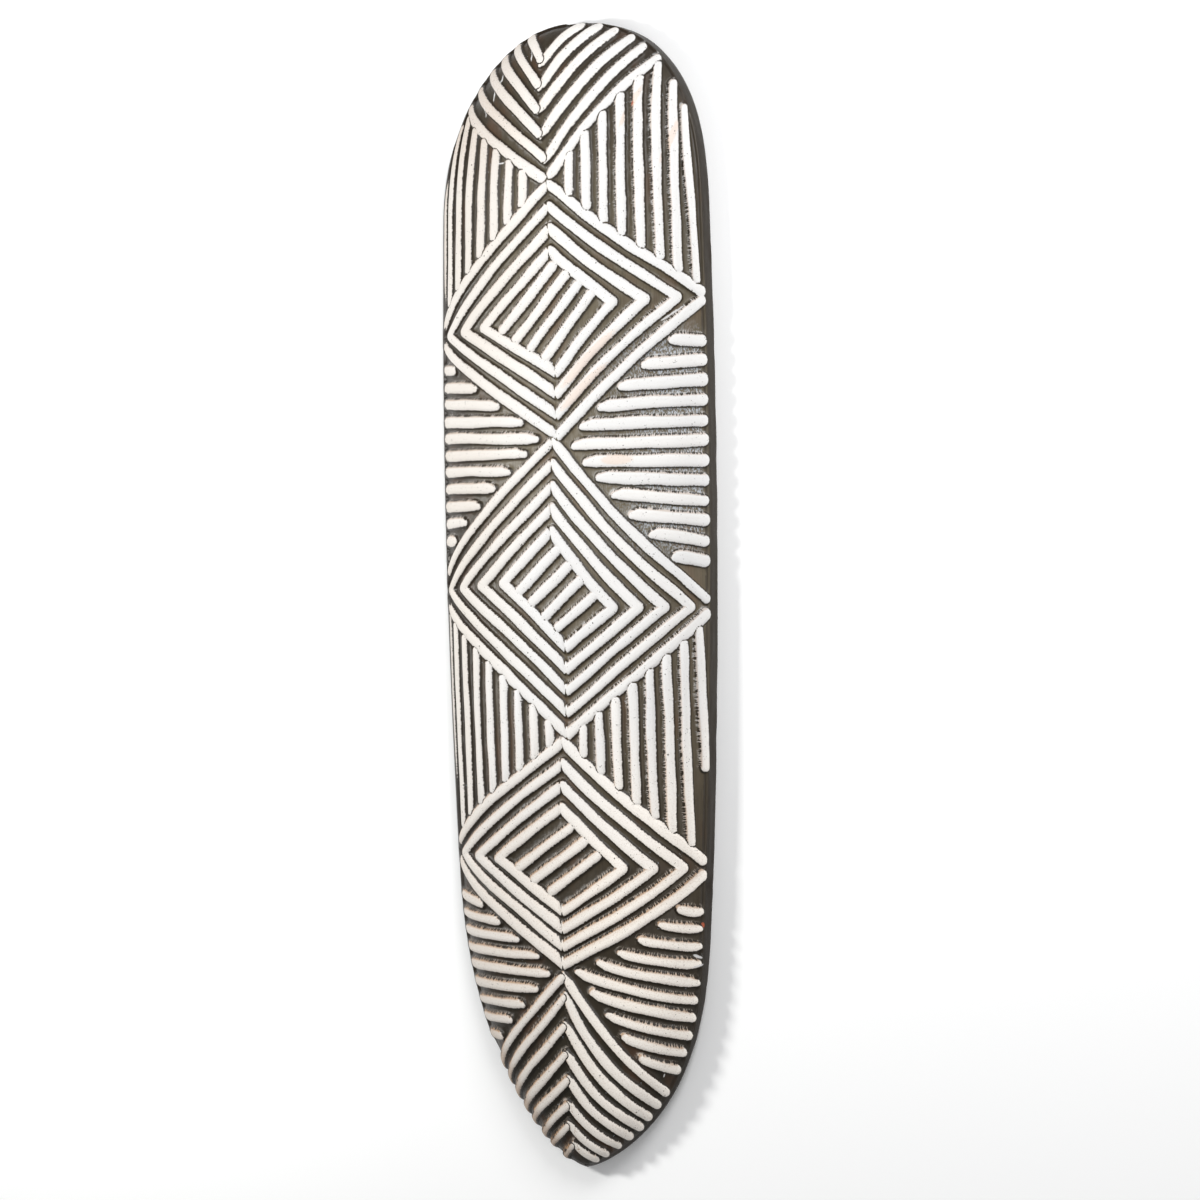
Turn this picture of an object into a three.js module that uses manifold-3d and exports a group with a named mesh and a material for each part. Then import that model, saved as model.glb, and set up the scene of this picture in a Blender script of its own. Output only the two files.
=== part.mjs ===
// A long wooden shield carved from one plank. Its face is domed and covered with raised strokes:
// chevrons at both ends, three nests of diamonds down the middle, and fans of bars beside them.
// Its back is hollowed, with a flat rim to lie on and a grip left standing across the hollow.
//
// Millimetres. The rim's flat underside is z = 0, +Z points out of the face, +Y points to the
// round head and X runs across. A place on the face is (across, along): across is measured over
// the curve of the face from its middle line, along is the distance up or down the shield.

import * as THREE from 'three';
import { mergeVertices } from 'three/addons/utils/BufferGeometryUtils.js';
import Module from 'manifold-3d';

// ---- driving dimensions ----

const HALF_LENGTH = 500;
const HALF_WIDTH = 132.8;
const HEAD_TAPER = 0.07;        // share by which the head end is wider and the foot end narrower
const BARREL = 0.129;           // share by which both ends are narrower than the middle
const RIM_HEIGHT = 14;          // from the underside to where the dome starts
const CROWN = 39.1;             // height of the dome above the rim at mid length
const CROWN_TAPER = 5.6;        // how much lower the dome is at the head, and higher at the foot
const EDGE_SLOPE = THREE.MathUtils.degToRad(60);
const EVEN_TURN = 0.27;         // share of the dome's turn that is spread evenly across it

// How each side rounds in to the head and the foot: the length of the rounded stretch, and the
// powers of its curve. A power of 2 is an ellipse, and a low footTip leaves a point.
const LEFT = { head: 161.8, headPower: 2.0, foot: 256, footPower: 2.24, footTip: 1.58 };
const RIGHT = { head: 161.7, headPower: 2.5, foot: 218, footPower: 3.19, footTip: 1.376 };

const RELIEF = 3;               // height of the strokes above the ground between them
const STROKE_TOP = 7.4;         // width of a stroke's flat top
const STROKE_BASE = 11;         // width at its root, inside the board
const STROKE_ROOT = 2.5;        // how far a stroke's solid is let into the board
const EDGE_INSET = 4;           // the middle of a stroke stops this far short of the edge
const BAR_INSET = 5;            // and the middle of a lying bar this far
const CHORD_SLACK = 2.2;        // most that a stroke's straight runs may stray from its curve
const MOST_RUNS = 3;

const WALL = 12;                // board between the ground of the face and the hollow
const HOLLOW_ACROSS = 0.85;     // the hollow's outline as a share of the shield's
const HOLLOW_ALONG = 0.944;
const HOLLOW_POWER = 2.4;       // roundness of the hollow's arch
const HOLLOW_END_POWER = 5;     // how abruptly the hollow runs out at its ends

const GRIP_WIDTH = 28;
const GRIP_LOW = 2.5;           // the grip stays this far above the rim's underside
const GRIP_HIGH = 17.5;         // the finger gap starts here
const GRIP_EDGE = 3;            // rounding of the grip's long edges
const GRIP_BEVELS = 2;
const GRIP_FLAT = 76;           // half the length of its flat underside
const GRIP_SPAN = 104;          // half its length where its ends meet the roof
const GAP_FLAT = 54;            // the same two for the finger gap over it
const GAP_SPAN = 70;
const GRIP_ROOT = 3;            // how far its ends are let into the roof

// ---- small helpers ----

const { clamp, lerp } = THREE.MathUtils;

function mix(a, b, t) {
  return [lerp(a[0], b[0], t), lerp(a[1], b[1], t)];
}

function series(count, make) {
  return Array.from({ length: count }, (_, i) => make(i));
}

// ---- outline ----

// Half width of one side at a distance along the shield.
function halfWidthOf(side, along) {
  const u = along / HALF_LENGTH;
  const body = HALF_WIDTH * (1 + HEAD_TAPER * u - BARREL * u * u);
  const head = clamp((along - HALF_LENGTH + side.head) / side.head, 0, 1);
  const foot = clamp((side.foot - HALF_LENGTH - along) / side.foot, 0, 1);
  const headRound = (1 - head ** side.headPower) ** (1 / side.headPower);
  const footRound = (1 - foot ** side.footPower) ** (1 / side.footTip);
  return body * headRound * footRound;
}

function meanHalfWidth(along) {
  return (halfWidthOf(LEFT, along) + halfWidthOf(RIGHT, along)) / 2;
}

// ---- dome ----

// The dome's section is a curve whose slope grows from its middle to its edge as
// EDGE_SLOPE * (EVEN_TURN * q + (1 - EVEN_TURN) * q^3), where q is 0 in the middle and 1 at the
// edge. Its width and drop are the sums of the slope's cosine and sine.
const SECTION_STEPS = 240;
const SECTION_REACH = 1.2;      // the table runs on past the edge, for strokes that touch it

function makeSection() {
  const step = SECTION_REACH / SECTION_STEPS;
  const table = [[0, 0]];
  for (let i = 0; i < SECTION_STEPS; i += 1) {
    const q = (i + 0.5) * step;
    const slope = EDGE_SLOPE * (EVEN_TURN * q + (1 - EVEN_TURN) * q ** 3);
    const [x, drop] = table[i];
    table.push([x + Math.cos(slope) * step, drop + Math.sin(slope) * step]);
  }
  return table;
}

const SECTION = makeSection();

function sectionAt(q) {
  const place = clamp(Math.abs(q) / SECTION_REACH, 0, 1) * SECTION_STEPS;
  const i = Math.min(Math.floor(place), SECTION_STEPS - 1);
  return mix(SECTION[i], SECTION[i + 1], place - i);
}

const [EDGE_X, EDGE_DROP] = sectionAt(1);

// Half the distance over the curve of the face from edge to edge.
function halfArc(along) {
  return meanHalfWidth(along) / EDGE_X;
}

function domeHeight(along) {
  const crown = CROWN - CROWN_TAPER * along / HALF_LENGTH;
  return crown * meanHalfWidth(along) / HALF_WIDTH;
}

// The surface that the tops of the strokes lie in. q runs from -1 to 1 across the face.
function domePoint(q, along) {
  const [x, drop] = sectionAt(q);
  const half = halfWidthOf(q < 0 ? LEFT : RIGHT, along);
  const height = RIM_HEIGHT + domeHeight(along) * (1 - drop / EDGE_DROP);
  return new THREE.Vector3(Math.sign(q) * half * x / EDGE_X, along, height);
}

// The steps over which the surface's slope is measured.
const STEP_Q = 0.01;
const STEP_ALONG = 1;

function domeNormal(q, along) {
  const reach = HALF_LENGTH - 2 * STEP_ALONG;
  const y = clamp(along, -reach, reach);
  const acrossStep = domePoint(q + STEP_Q, y).sub(domePoint(q - STEP_Q, y));
  const alongStep = domePoint(q, y + STEP_ALONG).sub(domePoint(q, y - STEP_ALONG));
  return acrossStep.cross(alongStep).normalize();
}

function sunkPoint(q, along, depth) {
  return domePoint(q, along).addScaledVector(domeNormal(q, along), -depth);
}

function facePoint([across, along], depth) {
  return sunkPoint(across / halfArc(along), along, depth);
}

// ---- solids ----

const wasm = await Module();
wasm.setup();

const WELD = 1e-3;              // points nearer than this are one

function solidOf(geometry) {
  const bare = geometry.index ? geometry.toNonIndexed() : geometry.clone();
  bare.deleteAttribute('normal');
  bare.deleteAttribute('uv');
  const merged = mergeVertices(bare, WELD);
  const mesh = new wasm.Mesh({
    numProp: 3,
    vertProperties: Float32Array.from(merged.attributes.position.array),
    triVerts: Uint32Array.from(merged.index.array),
  });
  return new wasm.Manifold(mesh);
}

function geometryOf(solid) {
  const mesh = solid.getMesh();
  const geometry = new THREE.BufferGeometry();
  geometry.setAttribute('position', new THREE.BufferAttribute(mesh.vertProperties, 3));
  geometry.setIndex(new THREE.BufferAttribute(mesh.triVerts, 1));
  return geometry;
}

// A closed body through a row of loops with equally many points. Its ends are closed by fans,
// or joined to each other where the row is a ring.
function loft(loops, isRing = false) {
  const size = loops[0].length;
  const points = loops.flat();
  const faces = [];
  const strips = isRing ? loops.length : loops.length - 1;
  for (let j = 0; j < strips; j += 1) {
    const near = j * size;
    const far = ((j + 1) % loops.length) * size;
    for (let i = 0; i < size; i += 1) {
      const next = (i + 1) % size;
      faces.push(near + i, near + next, far + next, near + i, far + next, far + i);
    }
  }
  const last = (loops.length - 1) * size;
  for (let i = 1; i + 1 < size && !isRing; i += 1) {
    faces.push(0, i + 1, i, last, last + i, last + i + 1);
  }
  const geometry = new THREE.BufferGeometry().setFromPoints(points);
  geometry.setIndex(faces);
  return solidOf(geometry);
}

// ---- board and hollow ----

const HEAD_STEPS = 6;
const BODY_STEPS = 4;
const FOOT_STEPS = 7;
const TIP_ANGLE = 0.97 * Math.PI / 2;

// Stations along the shield, closer together where an end rounds in.
function stations(reach) {
  const headStart = HALF_LENGTH - RIGHT.head;
  const footStart = LEFT.foot - HALF_LENGTH;
  const quarter = (i, steps) => Math.sin(TIP_ANGLE * i / steps) / Math.sin(TIP_ANGLE);
  const foot = series(FOOT_STEPS, (i) => footStart - LEFT.foot * quarter(FOOT_STEPS - i, FOOT_STEPS));
  const body = series(BODY_STEPS, (i) => lerp(footStart, headStart, i / BODY_STEPS));
  const head = series(HEAD_STEPS + 1, (i) => headStart + RIGHT.head * quarter(i, HEAD_STEPS));
  return [...foot, ...body, ...head].map((along) => clamp(along, -reach, reach));
}

const ACROSS_STEPS = 8;
const EDGE_CROWDING = 0.6;      // under 1, the section's points crowd to its edges, where it turns
const BLUNT_END = 0.25;         // the two ends are cut off this far inside, so they have a width
const LEDGE = 0.01;             // the walls stand this far out, so that no two points coincide

function boardLoop(along) {
  const inside = clamp(along, BLUNT_END - HALF_LENGTH, HALF_LENGTH - BLUNT_END);
  const ground = series(ACROSS_STEPS + 1, (i) => {
    const even = lerp(-1, 1, i / ACROSS_STEPS);
    const q = Math.sign(even) * Math.abs(even) ** EDGE_CROWDING;
    return sunkPoint(q, inside, RELIEF).setY(along);
  });
  const left = -halfWidthOf(LEFT, inside);
  const right = halfWidthOf(RIGHT, inside);
  const shoulder = ground[0].z;
  ground.forEach((point) => {
    point.x = clamp(point.x, left, right);
  });
  return [
    ...ground,
    new THREE.Vector3(right + LEDGE, along, shoulder - LEDGE),
    new THREE.Vector3(right + LEDGE, along, 0),
    new THREE.Vector3(left - LEDGE, along, 0),
    new THREE.Vector3(left - LEDGE, along, shoulder - LEDGE),
  ];
}

function makeBoard() {
  return loft(stations(HALF_LENGTH).map(boardLoop));
}

const HOLLOW_REACH = HALF_LENGTH * HOLLOW_ALONG;
const ARCH_STEPS = 10;
const HOLLOW_TIP = 1;           // the hollow's last sections stop this far short of its ends
const BELOW = 1;                // the hollow's solid reaches this far past the underside

function hollowDepth(along) {
  const ease = (1 - (Math.abs(along) / HOLLOW_REACH) ** HOLLOW_END_POWER) ** (1 / HOLLOW_POWER);
  return (RIM_HEIGHT + domeHeight(along) - RELIEF - WALL) * ease;
}

function hollowLoop(along) {
  const twin = along / HOLLOW_ALONG;
  const left = -halfWidthOf(LEFT, twin) * HOLLOW_ACROSS;
  const right = halfWidthOf(RIGHT, twin) * HOLLOW_ACROSS;
  const depth = hollowDepth(along);
  const arch = series(ARCH_STEPS + 1, (i) => {
    const u = -Math.cos(Math.PI * i / ARCH_STEPS);
    const rise = (1 - Math.abs(u) ** HOLLOW_POWER) ** (1 / HOLLOW_POWER);
    return new THREE.Vector3(u < 0 ? -u * left : u * right, along, depth * rise);
  });
  return [...arch, new THREE.Vector3(right, along, -BELOW), new THREE.Vector3(left, along, -BELOW)];
}

function makeHollow() {
  const share = (HOLLOW_REACH - HOLLOW_TIP) / HALF_LENGTH;
  return loft(stations(HALF_LENGTH).map((along) => hollowLoop(along * share)));
}

// The grip is a bridge along the hollow, drawn from the side and extruded across.
function makeGrip() {
  const roof = hollowDepth(0) + GRIP_ROOT;
  const side = new THREE.Shape([
    new THREE.Vector2(-GRIP_SPAN, roof),
    new THREE.Vector2(-GRIP_FLAT, GRIP_LOW),
    new THREE.Vector2(GRIP_FLAT, GRIP_LOW),
    new THREE.Vector2(GRIP_SPAN, roof),
    new THREE.Vector2(GAP_SPAN, roof),
    new THREE.Vector2(GAP_FLAT, GRIP_HIGH),
    new THREE.Vector2(-GAP_FLAT, GRIP_HIGH),
    new THREE.Vector2(-GAP_SPAN, roof),
  ]);
  const geometry = new THREE.ExtrudeGeometry(side, {
    depth: GRIP_WIDTH - 2 * GRIP_EDGE,
    bevelEnabled: true,
    bevelThickness: GRIP_EDGE,
    bevelSize: GRIP_EDGE,
    bevelOffset: -GRIP_EDGE,
    bevelSegments: GRIP_BEVELS,
  });
  geometry.translate(0, 0, GRIP_EDGE - GRIP_WIDTH / 2);
  // The drawing's x, y and depth become along, height and across.
  geometry.applyMatrix4(new THREE.Matrix4().makeBasis(
    new THREE.Vector3(0, 1, 0),
    new THREE.Vector3(0, 0, 1),
    new THREE.Vector3(1, 0, 0),
  ));
  return solidOf(geometry);
}

// ---- strokes ----

// A stroke is a quadratic curve on the unrolled face from a to b, whose middle stands bow to
// the left of the straight line, seen walking from a to b.
function stroke(a, b, bow = 0) {
  const along = [b[0] - a[0], b[1] - a[1]];
  const length = Math.hypot(...along);
  const left = [-along[1] / length, along[0] / length];
  return (t) => {
    const aside = 4 * bow * t * (1 - t);
    const [x, y] = mix(a, b, t);
    return [x + left[0] * aside, y + left[1] * aside];
  };
}

const FINE = 48;

// The first place on a stroke where one coordinate has a value, as its other coordinate.
function crossing(line, axis, value) {
  const points = series(FINE + 1, (i) => line(i / FINE));
  for (let i = 0; i < FINE; i += 1) {
    const [p, q] = [points[i], points[i + 1]];
    const t = (value - p[axis]) / (q[axis] - p[axis]);
    if (t >= 0 && t <= 1) return lerp(p[1 - axis], q[1 - axis], t);
  }
  const [first, last] = [points[0], points[FINE]];
  const firstIsNearer = Math.abs(first[axis] - value) < Math.abs(last[axis] - value);
  return (firstIsNearer ? first : last)[1 - axis];
}

// V chevrons under the head and upside-down ones above the foot, from the outermost in.
function chevrons(rows) {
  return rows.map(({ apex, left, right, bowLeft, bowRight }) => ({
    left: stroke(apex, left, bowLeft),
    right: stroke(apex, right, bowRight),
  }));
}

const HEAD_CHEVRONS = chevrons([
  { apex: [-5, 358.5], left: [-117, 441], right: [98, 466], bowLeft: 2.5, bowRight: 4 },
  { apex: [-5, 376.5], left: [-113, 461], right: [83, 478], bowLeft: 0, bowRight: 4 },
  { apex: [-10, 398.5], left: [-98, 474], right: [71, 488], bowLeft: -1, bowRight: 3 },
  { apex: [-14, 420.5], left: [-82, 484], right: [54, 496], bowLeft: -1, bowRight: 2 },
  { apex: [-15, 442.5], left: [-62, 490], right: [35, 497], bowLeft: -1, bowRight: 2.5 },
  { apex: [-16, 464], left: [-42, 493], right: [17, 498], bowLeft: -2, bowRight: 1 },
]);

const FOOT_CHEVRONS = chevrons([
  { apex: [2, -329.5], left: [-98, -413], right: [88, -436], bowLeft: 2, bowRight: -5 },
  { apex: [3, -346.5], left: [-90, -428], right: [82, -448], bowLeft: 2, bowRight: -10 },
  { apex: [1, -372], left: [-81, -440], right: [73, -458], bowLeft: 2, bowRight: -8 },
  { apex: [1, -397], left: [-74, -454], right: [65, -467], bowLeft: 1, bowRight: -8 },
  { apex: [0, -419.5], left: [-65, -465], right: [53, -474], bowLeft: 1, bowRight: -7 },
  { apex: [-3, -442.5], left: [-54, -477], right: [42, -482], bowLeft: 0, bowRight: -5 },
  { apex: [-6, -460], left: [-44, -484], right: [27, -488], bowLeft: 1, bowRight: -3 },
  { apex: [-4, -478], left: [-24, -492], right: [16, -492], bowLeft: 0, bowRight: -2 },
]);

// Nested diamonds: each corner is given for the outermost ring and the innermost, and the bows
// of the four sides belong to the outermost and die away inwards.
function diamonds({ rings, top, right, bottom, left, bows, bars }) {
  const nest = series(rings, (k) => {
    const t = k / (rings - 1);
    const fade = 1 - k / rings;
    const [T, R, B, L] = [top, right, bottom, left].map(([outer, inner]) => mix(outer, inner, t));
    return [
      stroke(R, B, bows[1] * fade),
      stroke(B, L, bows[2] * fade),
      stroke(L, T, bows[3] * fade),
      stroke(T, R, bows[0] * fade),
    ];
  });
  const filling = series(bars.count, (k) => {
    const t = k / (bars.count - 1);
    return stroke(mix(...bars.from, t), mix(...bars.to, t));
  });
  const [rightBottom, bottomLeft, leftTop, topRight] = nest[0];
  return { nest, filling, outer: { rightBottom, bottomLeft, leftTop, topRight } };
}

const UPPER_DIAMOND = diamonds({
  rings: 4,
  top: [[-3, 356], [-1.5, 297.5]],
  right: [[148, 252], [59, 249]],
  bottom: [[5, 136], [4, 191]],
  left: [[-151, 230.5], [-73, 235]],
  bows: [-4, -4, -2, 0],
  bars: { count: 4, from: [[-51.5, 231.5], [-7.6, 204]], to: [[1, 283], [40.5, 260.5]] },
});

const MIDDLE_DIAMOND = diamonds({
  rings: 5,
  top: [[0, 132], [-3, 54]],
  right: [[150, -14.5], [56, -14]],
  bottom: [[11, -122], [11, -47]],
  left: [[-158, 5], [-54, 10]],
  bows: [-6, 0, -5, 0],
  bars: { count: 4, from: [[-38, 2], [3.5, -29.5]], to: [[2, 37.5], [40, -1]] },
});

const LOWER_DIAMOND = diamonds({
  rings: 4,
  top: [[6, -128], [3, -185]],
  right: [[142, -237], [61, -237]],
  bottom: [[2, -320], [3, -274]],
  left: [[-143, -224.5], [-65, -229.5]],
  bows: [-3, 4.5, -1, 0],
  bars: { count: 3, from: [[-43, -237], [-8, -256.5]], to: [[16, -199], [43.5, -221.5]] },
});

const UPRIGHT_GAP = 13;         // from the middle of an arm to the end of an upright bar
const LYING_GAP = 17;           // from the middle of an arm to the end of a lying bar

// Upright bars between an arm above and an arm below. tops and feet are the places across of the
// first and last bar, and shortened gives the last bar an end of its own.
function uprightFan({ count, tops, feet, over, under, bow = 0, shortened = {} }) {
  return series(count, (i) => {
    const t = i / (count - 1);
    const top = lerp(...tops, t);
    const foot = lerp(...feet, t);
    const own = i === count - 1 ? shortened : {};
    const high = own.top ?? crossing(over, 0, top) - UPRIGHT_GAP;
    const low = own.foot ?? crossing(under, 0, foot) + UPRIGHT_GAP;
    return stroke([top, high], [foot, low], bow * t);
  });
}

// Lying bars from beside the arms out to the edge. inner and outer are the places along of the
// first and last bar at either end, and side is -1 on the left and 1 on the right.
function lyingFan({ count, side, inner, outer, arms, bow = 0 }) {
  return series(count, (i) => {
    const t = i / (count - 1);
    const start = lerp(...inner, t);
    const end = lerp(...outer, t);
    const beside = Math.max(...arms.map((arm) => side * crossing(arm, 1, start)));
    const edge = halfArc(end) - BAR_INSET;
    return stroke([side * (beside + LYING_GAP), start], [side * edge, end], bow);
  });
}

const SAG = 0.03;               // how far a lower right bar sags, as a share of its reach
const SAG_TOP = -274;           // where the first of them meets the edge
const SAG_PITCH = 15.2;         // and how much lower each next one does

// The lower right bars sag, and start along a curve beside the diamond and then down the chevron.
function saggingFan() {
  const besideDiamond = stroke([110, -272], [15, -327], 5);
  const besideChevron = stroke([28.5, -344], [65.5, -401]);
  const starts = [
    ...series(6, (i) => besideDiamond(i / 5)),
    ...series(4, (i) => besideChevron(i / 3)),
  ];
  return starts.map((start, i) => {
    const end = SAG_TOP - SAG_PITCH * i;
    const edge = halfArc(end) - BAR_INSET;
    return stroke(start, [edge, end], SAG * (start[0] - edge));
  });
}

function reversed(line) {
  return (t) => line(1 - t);
}

// Every stroke on the face, as a list of lines that follow one another.
function allStrokes() {
  const upper = UPPER_DIAMOND.outer;
  const middle = MIDDLE_DIAMOND.outer;
  const lower = LOWER_DIAMOND.outer;
  const chevronRows = [...HEAD_CHEVRONS, ...FOOT_CHEVRONS];
  const nests = [UPPER_DIAMOND, MIDDLE_DIAMOND, LOWER_DIAMOND];
  const bars = [
    ...nests.flatMap(({ filling }) => filling),
    ...uprightFan({
      count: 8, tops: [-29, -134.7], feet: [-29, -139],
      over: HEAD_CHEVRONS[0].left, under: upper.leftTop, shortened: { top: 400 },
    }),
    ...uprightFan({
      count: 8, tops: [17.5, 121], feet: [17.5, 136.5], bow: 2,
      over: HEAD_CHEVRONS[0].right, under: upper.topRight, shortened: { top: 415 },
    }),
    ...uprightFan({
      count: 9, tops: [-7.5, -137], feet: [-7, -131.8],
      over: middle.bottomLeft, under: lower.leftTop,
    }),
    ...uprightFan({
      count: 8, tops: [26.3, 134.1], feet: [26, 138],
      over: middle.rightBottom, under: lower.topRight, shortened: { foot: -171 },
    }),
    ...lyingFan({
      count: 12, side: -1, inner: [200.5, 34.5], outer: [202, 35],
      arms: [upper.bottomLeft, middle.leftTop],
    }),
    ...lyingFan({
      count: 12, side: 1, inner: [214.5, 30], outer: [214, 25],
      arms: [upper.rightBottom, middle.topRight],
    }),
    ...lyingFan({
      count: 9, side: -1, inner: [-270, -385.5], outer: [-262.5, -384.5],
      arms: [lower.bottomLeft, FOOT_CHEVRONS[0].left],
    }),
    ...saggingFan(),
  ];
  return [
    ...chevronRows.map(({ left, right }) => [reversed(left), right]),
    ...nests.flatMap(({ nest }) => nest),
    ...bars.map((bar) => [bar]),
  ];
}

// ---- stroke solids ----

// Fewest equal runs that keep a stroke's top within CHORD_SLACK of its curve.
function runsNeeded(line) {
  for (let runs = 1; runs < MOST_RUNS; runs += 1) {
    const strays = series(runs, (i) => {
      const a = facePoint(line(i / runs), 0);
      const b = facePoint(line((i + 1) / runs), 0);
      const middle = facePoint(line((i + 0.5) / runs), 0);
      return middle.distanceTo(a.add(b).multiplyScalar(0.5));
    });
    if (Math.max(...strays) < CHORD_SLACK) return runs;
  }
  return MOST_RUNS;
}

function isOnFace([across, along]) {
  const nearerEnd = along + Math.sign(along) * EDGE_INSET;
  return Math.abs(across) <= halfArc(nearerEnd) - EDGE_INSET;
}

// The stretch of a stroke that lies on the face, as a curve over 0 to 1.
function trimmed(line) {
  const inside = series(FINE + 1, (i) => i / FINE).filter((t) => isOnFace(line(t)));
  const [start, end] = [inside[0], inside[inside.length - 1]];
  return (t) => line(lerp(start, end, t));
}

// Strokes that follow one another, as rows of points: one row for each stretch on the face.
function rows(lines) {
  const found = [];
  let lastEnd = null;
  lines.map(trimmed).forEach((line) => {
    const runs = runsNeeded(line);
    const points = series(runs + 1, (i) => line(i / runs));
    if (lastEnd && isSamePlace(points[0], lastEnd)) found[found.length - 1].push(...points.slice(1));
    else found.push(points);
    lastEnd = points[runs];
  });
  return found;
}

const SAME_PLACE = 0.5;         // ends nearer than this belong together

function isSamePlace(a, b) {
  return Math.hypot(b[0] - a[0], b[1] - a[1]) < SAME_PLACE;
}

function directionFrom(a, b) {
  const length = Math.hypot(b[0] - a[0], b[1] - a[1]);
  return [(b[0] - a[0]) / length, (b[1] - a[1]) / length];
}

// The corners of a stroke's section at a point, square to a direction: root, top, top, root.
function sectionRing([across, along], [dx, dy], share) {
  const corners = [
    [STROKE_BASE / 2, RELIEF + STROKE_ROOT],
    [STROKE_TOP / 2, 0],
    [-STROKE_TOP / 2, 0],
    [-STROKE_BASE / 2, RELIEF + STROKE_ROOT],
  ];
  return corners.map(([aside, depth]) => (
    facePoint([across - dy * aside * share, along + dx * aside * share], depth)
  ));
}

// A body along a row of points, mitred at its bends. A row that comes back to its start is a
// closed ring.
function makeStroke(points) {
  const last = points.length - 1;
  const isRing = isSamePlace(points[0], points[last]);
  const corners = isRing ? points.slice(0, -1) : points;
  const sections = corners.map((point, i) => {
    const before = i > 0 ? points[i - 1] : (isRing ? points[last - 1] : null);
    const after = i < last ? points[i + 1] : null;
    const into = directionFrom(before ?? point, before ? point : after);
    const out = directionFrom(after ? point : before, after ?? point);
    const middle = directionFrom([0, 0], [into[0] + out[0], into[1] + out[1]]);
    const mitre = 1 / (middle[0] * out[0] + middle[1] * out[1]);
    return sectionRing(point, middle, mitre);
  });
  return loft(sections, isRing);
}

// ---- the part ----

const strokes = allStrokes().flatMap(rows).map(makeStroke);
const carved = wasm.Manifold.union([makeBoard().subtract(makeHollow()), makeGrip(), ...strokes]);

const darkWood = new THREE.MeshStandardMaterial({ color: 0x463d31, roughness: 0.62, metalness: 0 });
const shieldBoard = new THREE.Mesh(geometryOf(carved), darkWood);
shieldBoard.name = 'shield_board';

const group = new THREE.Group();
group.add(shieldBoard);

export default group;
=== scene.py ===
"""A long carved wooden shield, lying face up on a pale floor.

The shield is cut from one plank. Its domed face is carved into raised strokes that are painted
white, with the dark wood left bare between them: chevrons at both ends, three nests of diamonds
down the middle, and fans of bars beside them. The back is hollowed and keeps a grip.

Lengths are in millimetres until a mesh is made, which is in metres. A place on the face is
(across, along): across is measured over the curve of the face from its middle line, and along is
the distance up or down the shield, towards the head.
"""
import logging
import math
from dataclasses import dataclass, field
from enum import Enum

import bpy
import numpy as np
from mathutils import Matrix, Vector


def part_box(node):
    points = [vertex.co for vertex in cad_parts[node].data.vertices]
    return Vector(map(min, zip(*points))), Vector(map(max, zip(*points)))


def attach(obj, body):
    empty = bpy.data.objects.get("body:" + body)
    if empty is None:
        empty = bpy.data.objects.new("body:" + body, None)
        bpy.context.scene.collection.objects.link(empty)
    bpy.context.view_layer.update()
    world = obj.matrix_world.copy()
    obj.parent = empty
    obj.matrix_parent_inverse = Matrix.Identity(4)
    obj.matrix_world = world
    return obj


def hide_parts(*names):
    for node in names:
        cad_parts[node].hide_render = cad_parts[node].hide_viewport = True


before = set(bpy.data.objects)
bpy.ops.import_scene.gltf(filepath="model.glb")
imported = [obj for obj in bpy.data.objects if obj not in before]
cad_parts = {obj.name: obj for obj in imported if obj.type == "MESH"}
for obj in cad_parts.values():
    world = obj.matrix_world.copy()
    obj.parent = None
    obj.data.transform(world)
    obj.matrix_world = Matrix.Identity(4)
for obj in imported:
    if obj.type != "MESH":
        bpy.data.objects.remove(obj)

MM = 0.001
log = logging.getLogger("shield")

Array = np.ndarray
Point = tuple[float, float]
Colour = tuple[float, float, float, float]
Object = bpy.types.Object


def ease(value: Array, low: float, high: float) -> Array:
    """A smooth step, 3t^2 - 2t^3, where t goes from 0 at low to 1 at high."""
    t = np.clip((value - low) / (high - low), 0.0, 1.0)
    return t * t * (3.0 - 2.0 * t)


def mix(a: Point, b: Point, t: float) -> Point:
    """The point a share t of the way from a to b."""
    return a[0] + (b[0] - a[0]) * t, a[1] + (b[1] - a[1]) * t


@dataclass(frozen=True)
class Ripple:
    """Smooth noise over a plane: seeded random heights on a lattice, eased between its nodes."""

    seed: int
    cell_across: float
    cell_along: float
    nodes: int = 97

    def read(self, across: Array, along: Array) -> Array:
        """The noise at each place: the four heights round it, weighted by 3t^2 - 2t^3.

        Args:
            across: Places across.
            along: Places along, of a shape that broadcasts with across.

        Returns:
            Numbers that mostly lie between -1 and 1.
        """
        lattice = np.random.default_rng(self.seed).uniform(-1.0, 1.0, (self.nodes, self.nodes))
        u, v = np.broadcast_arrays(across / self.cell_across, along / self.cell_along)
        i, j = np.floor(u).astype(int), np.floor(v).astype(int)
        s, t = ease(u - i, 0.0, 1.0), ease(v - j, 0.0, 1.0)
        low, high = (
            lattice[i % self.nodes, row] * (1 - s) + lattice[(i + 1) % self.nodes, row] * s
            for row in (j % self.nodes, (j + 1) % self.nodes)
        )
        return low * (1 - t) + high * t


# ---- the shield's form ----


@dataclass(frozen=True)
class EndRounding:
    """How one side rounds in to the head and the foot.

    The lengths are those of the rounded stretches. A power of 2 makes an ellipse, and a low
    foot_tip leaves a point.
    """

    head: float
    head_power: float
    foot: float
    foot_power: float
    foot_tip: float


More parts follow.
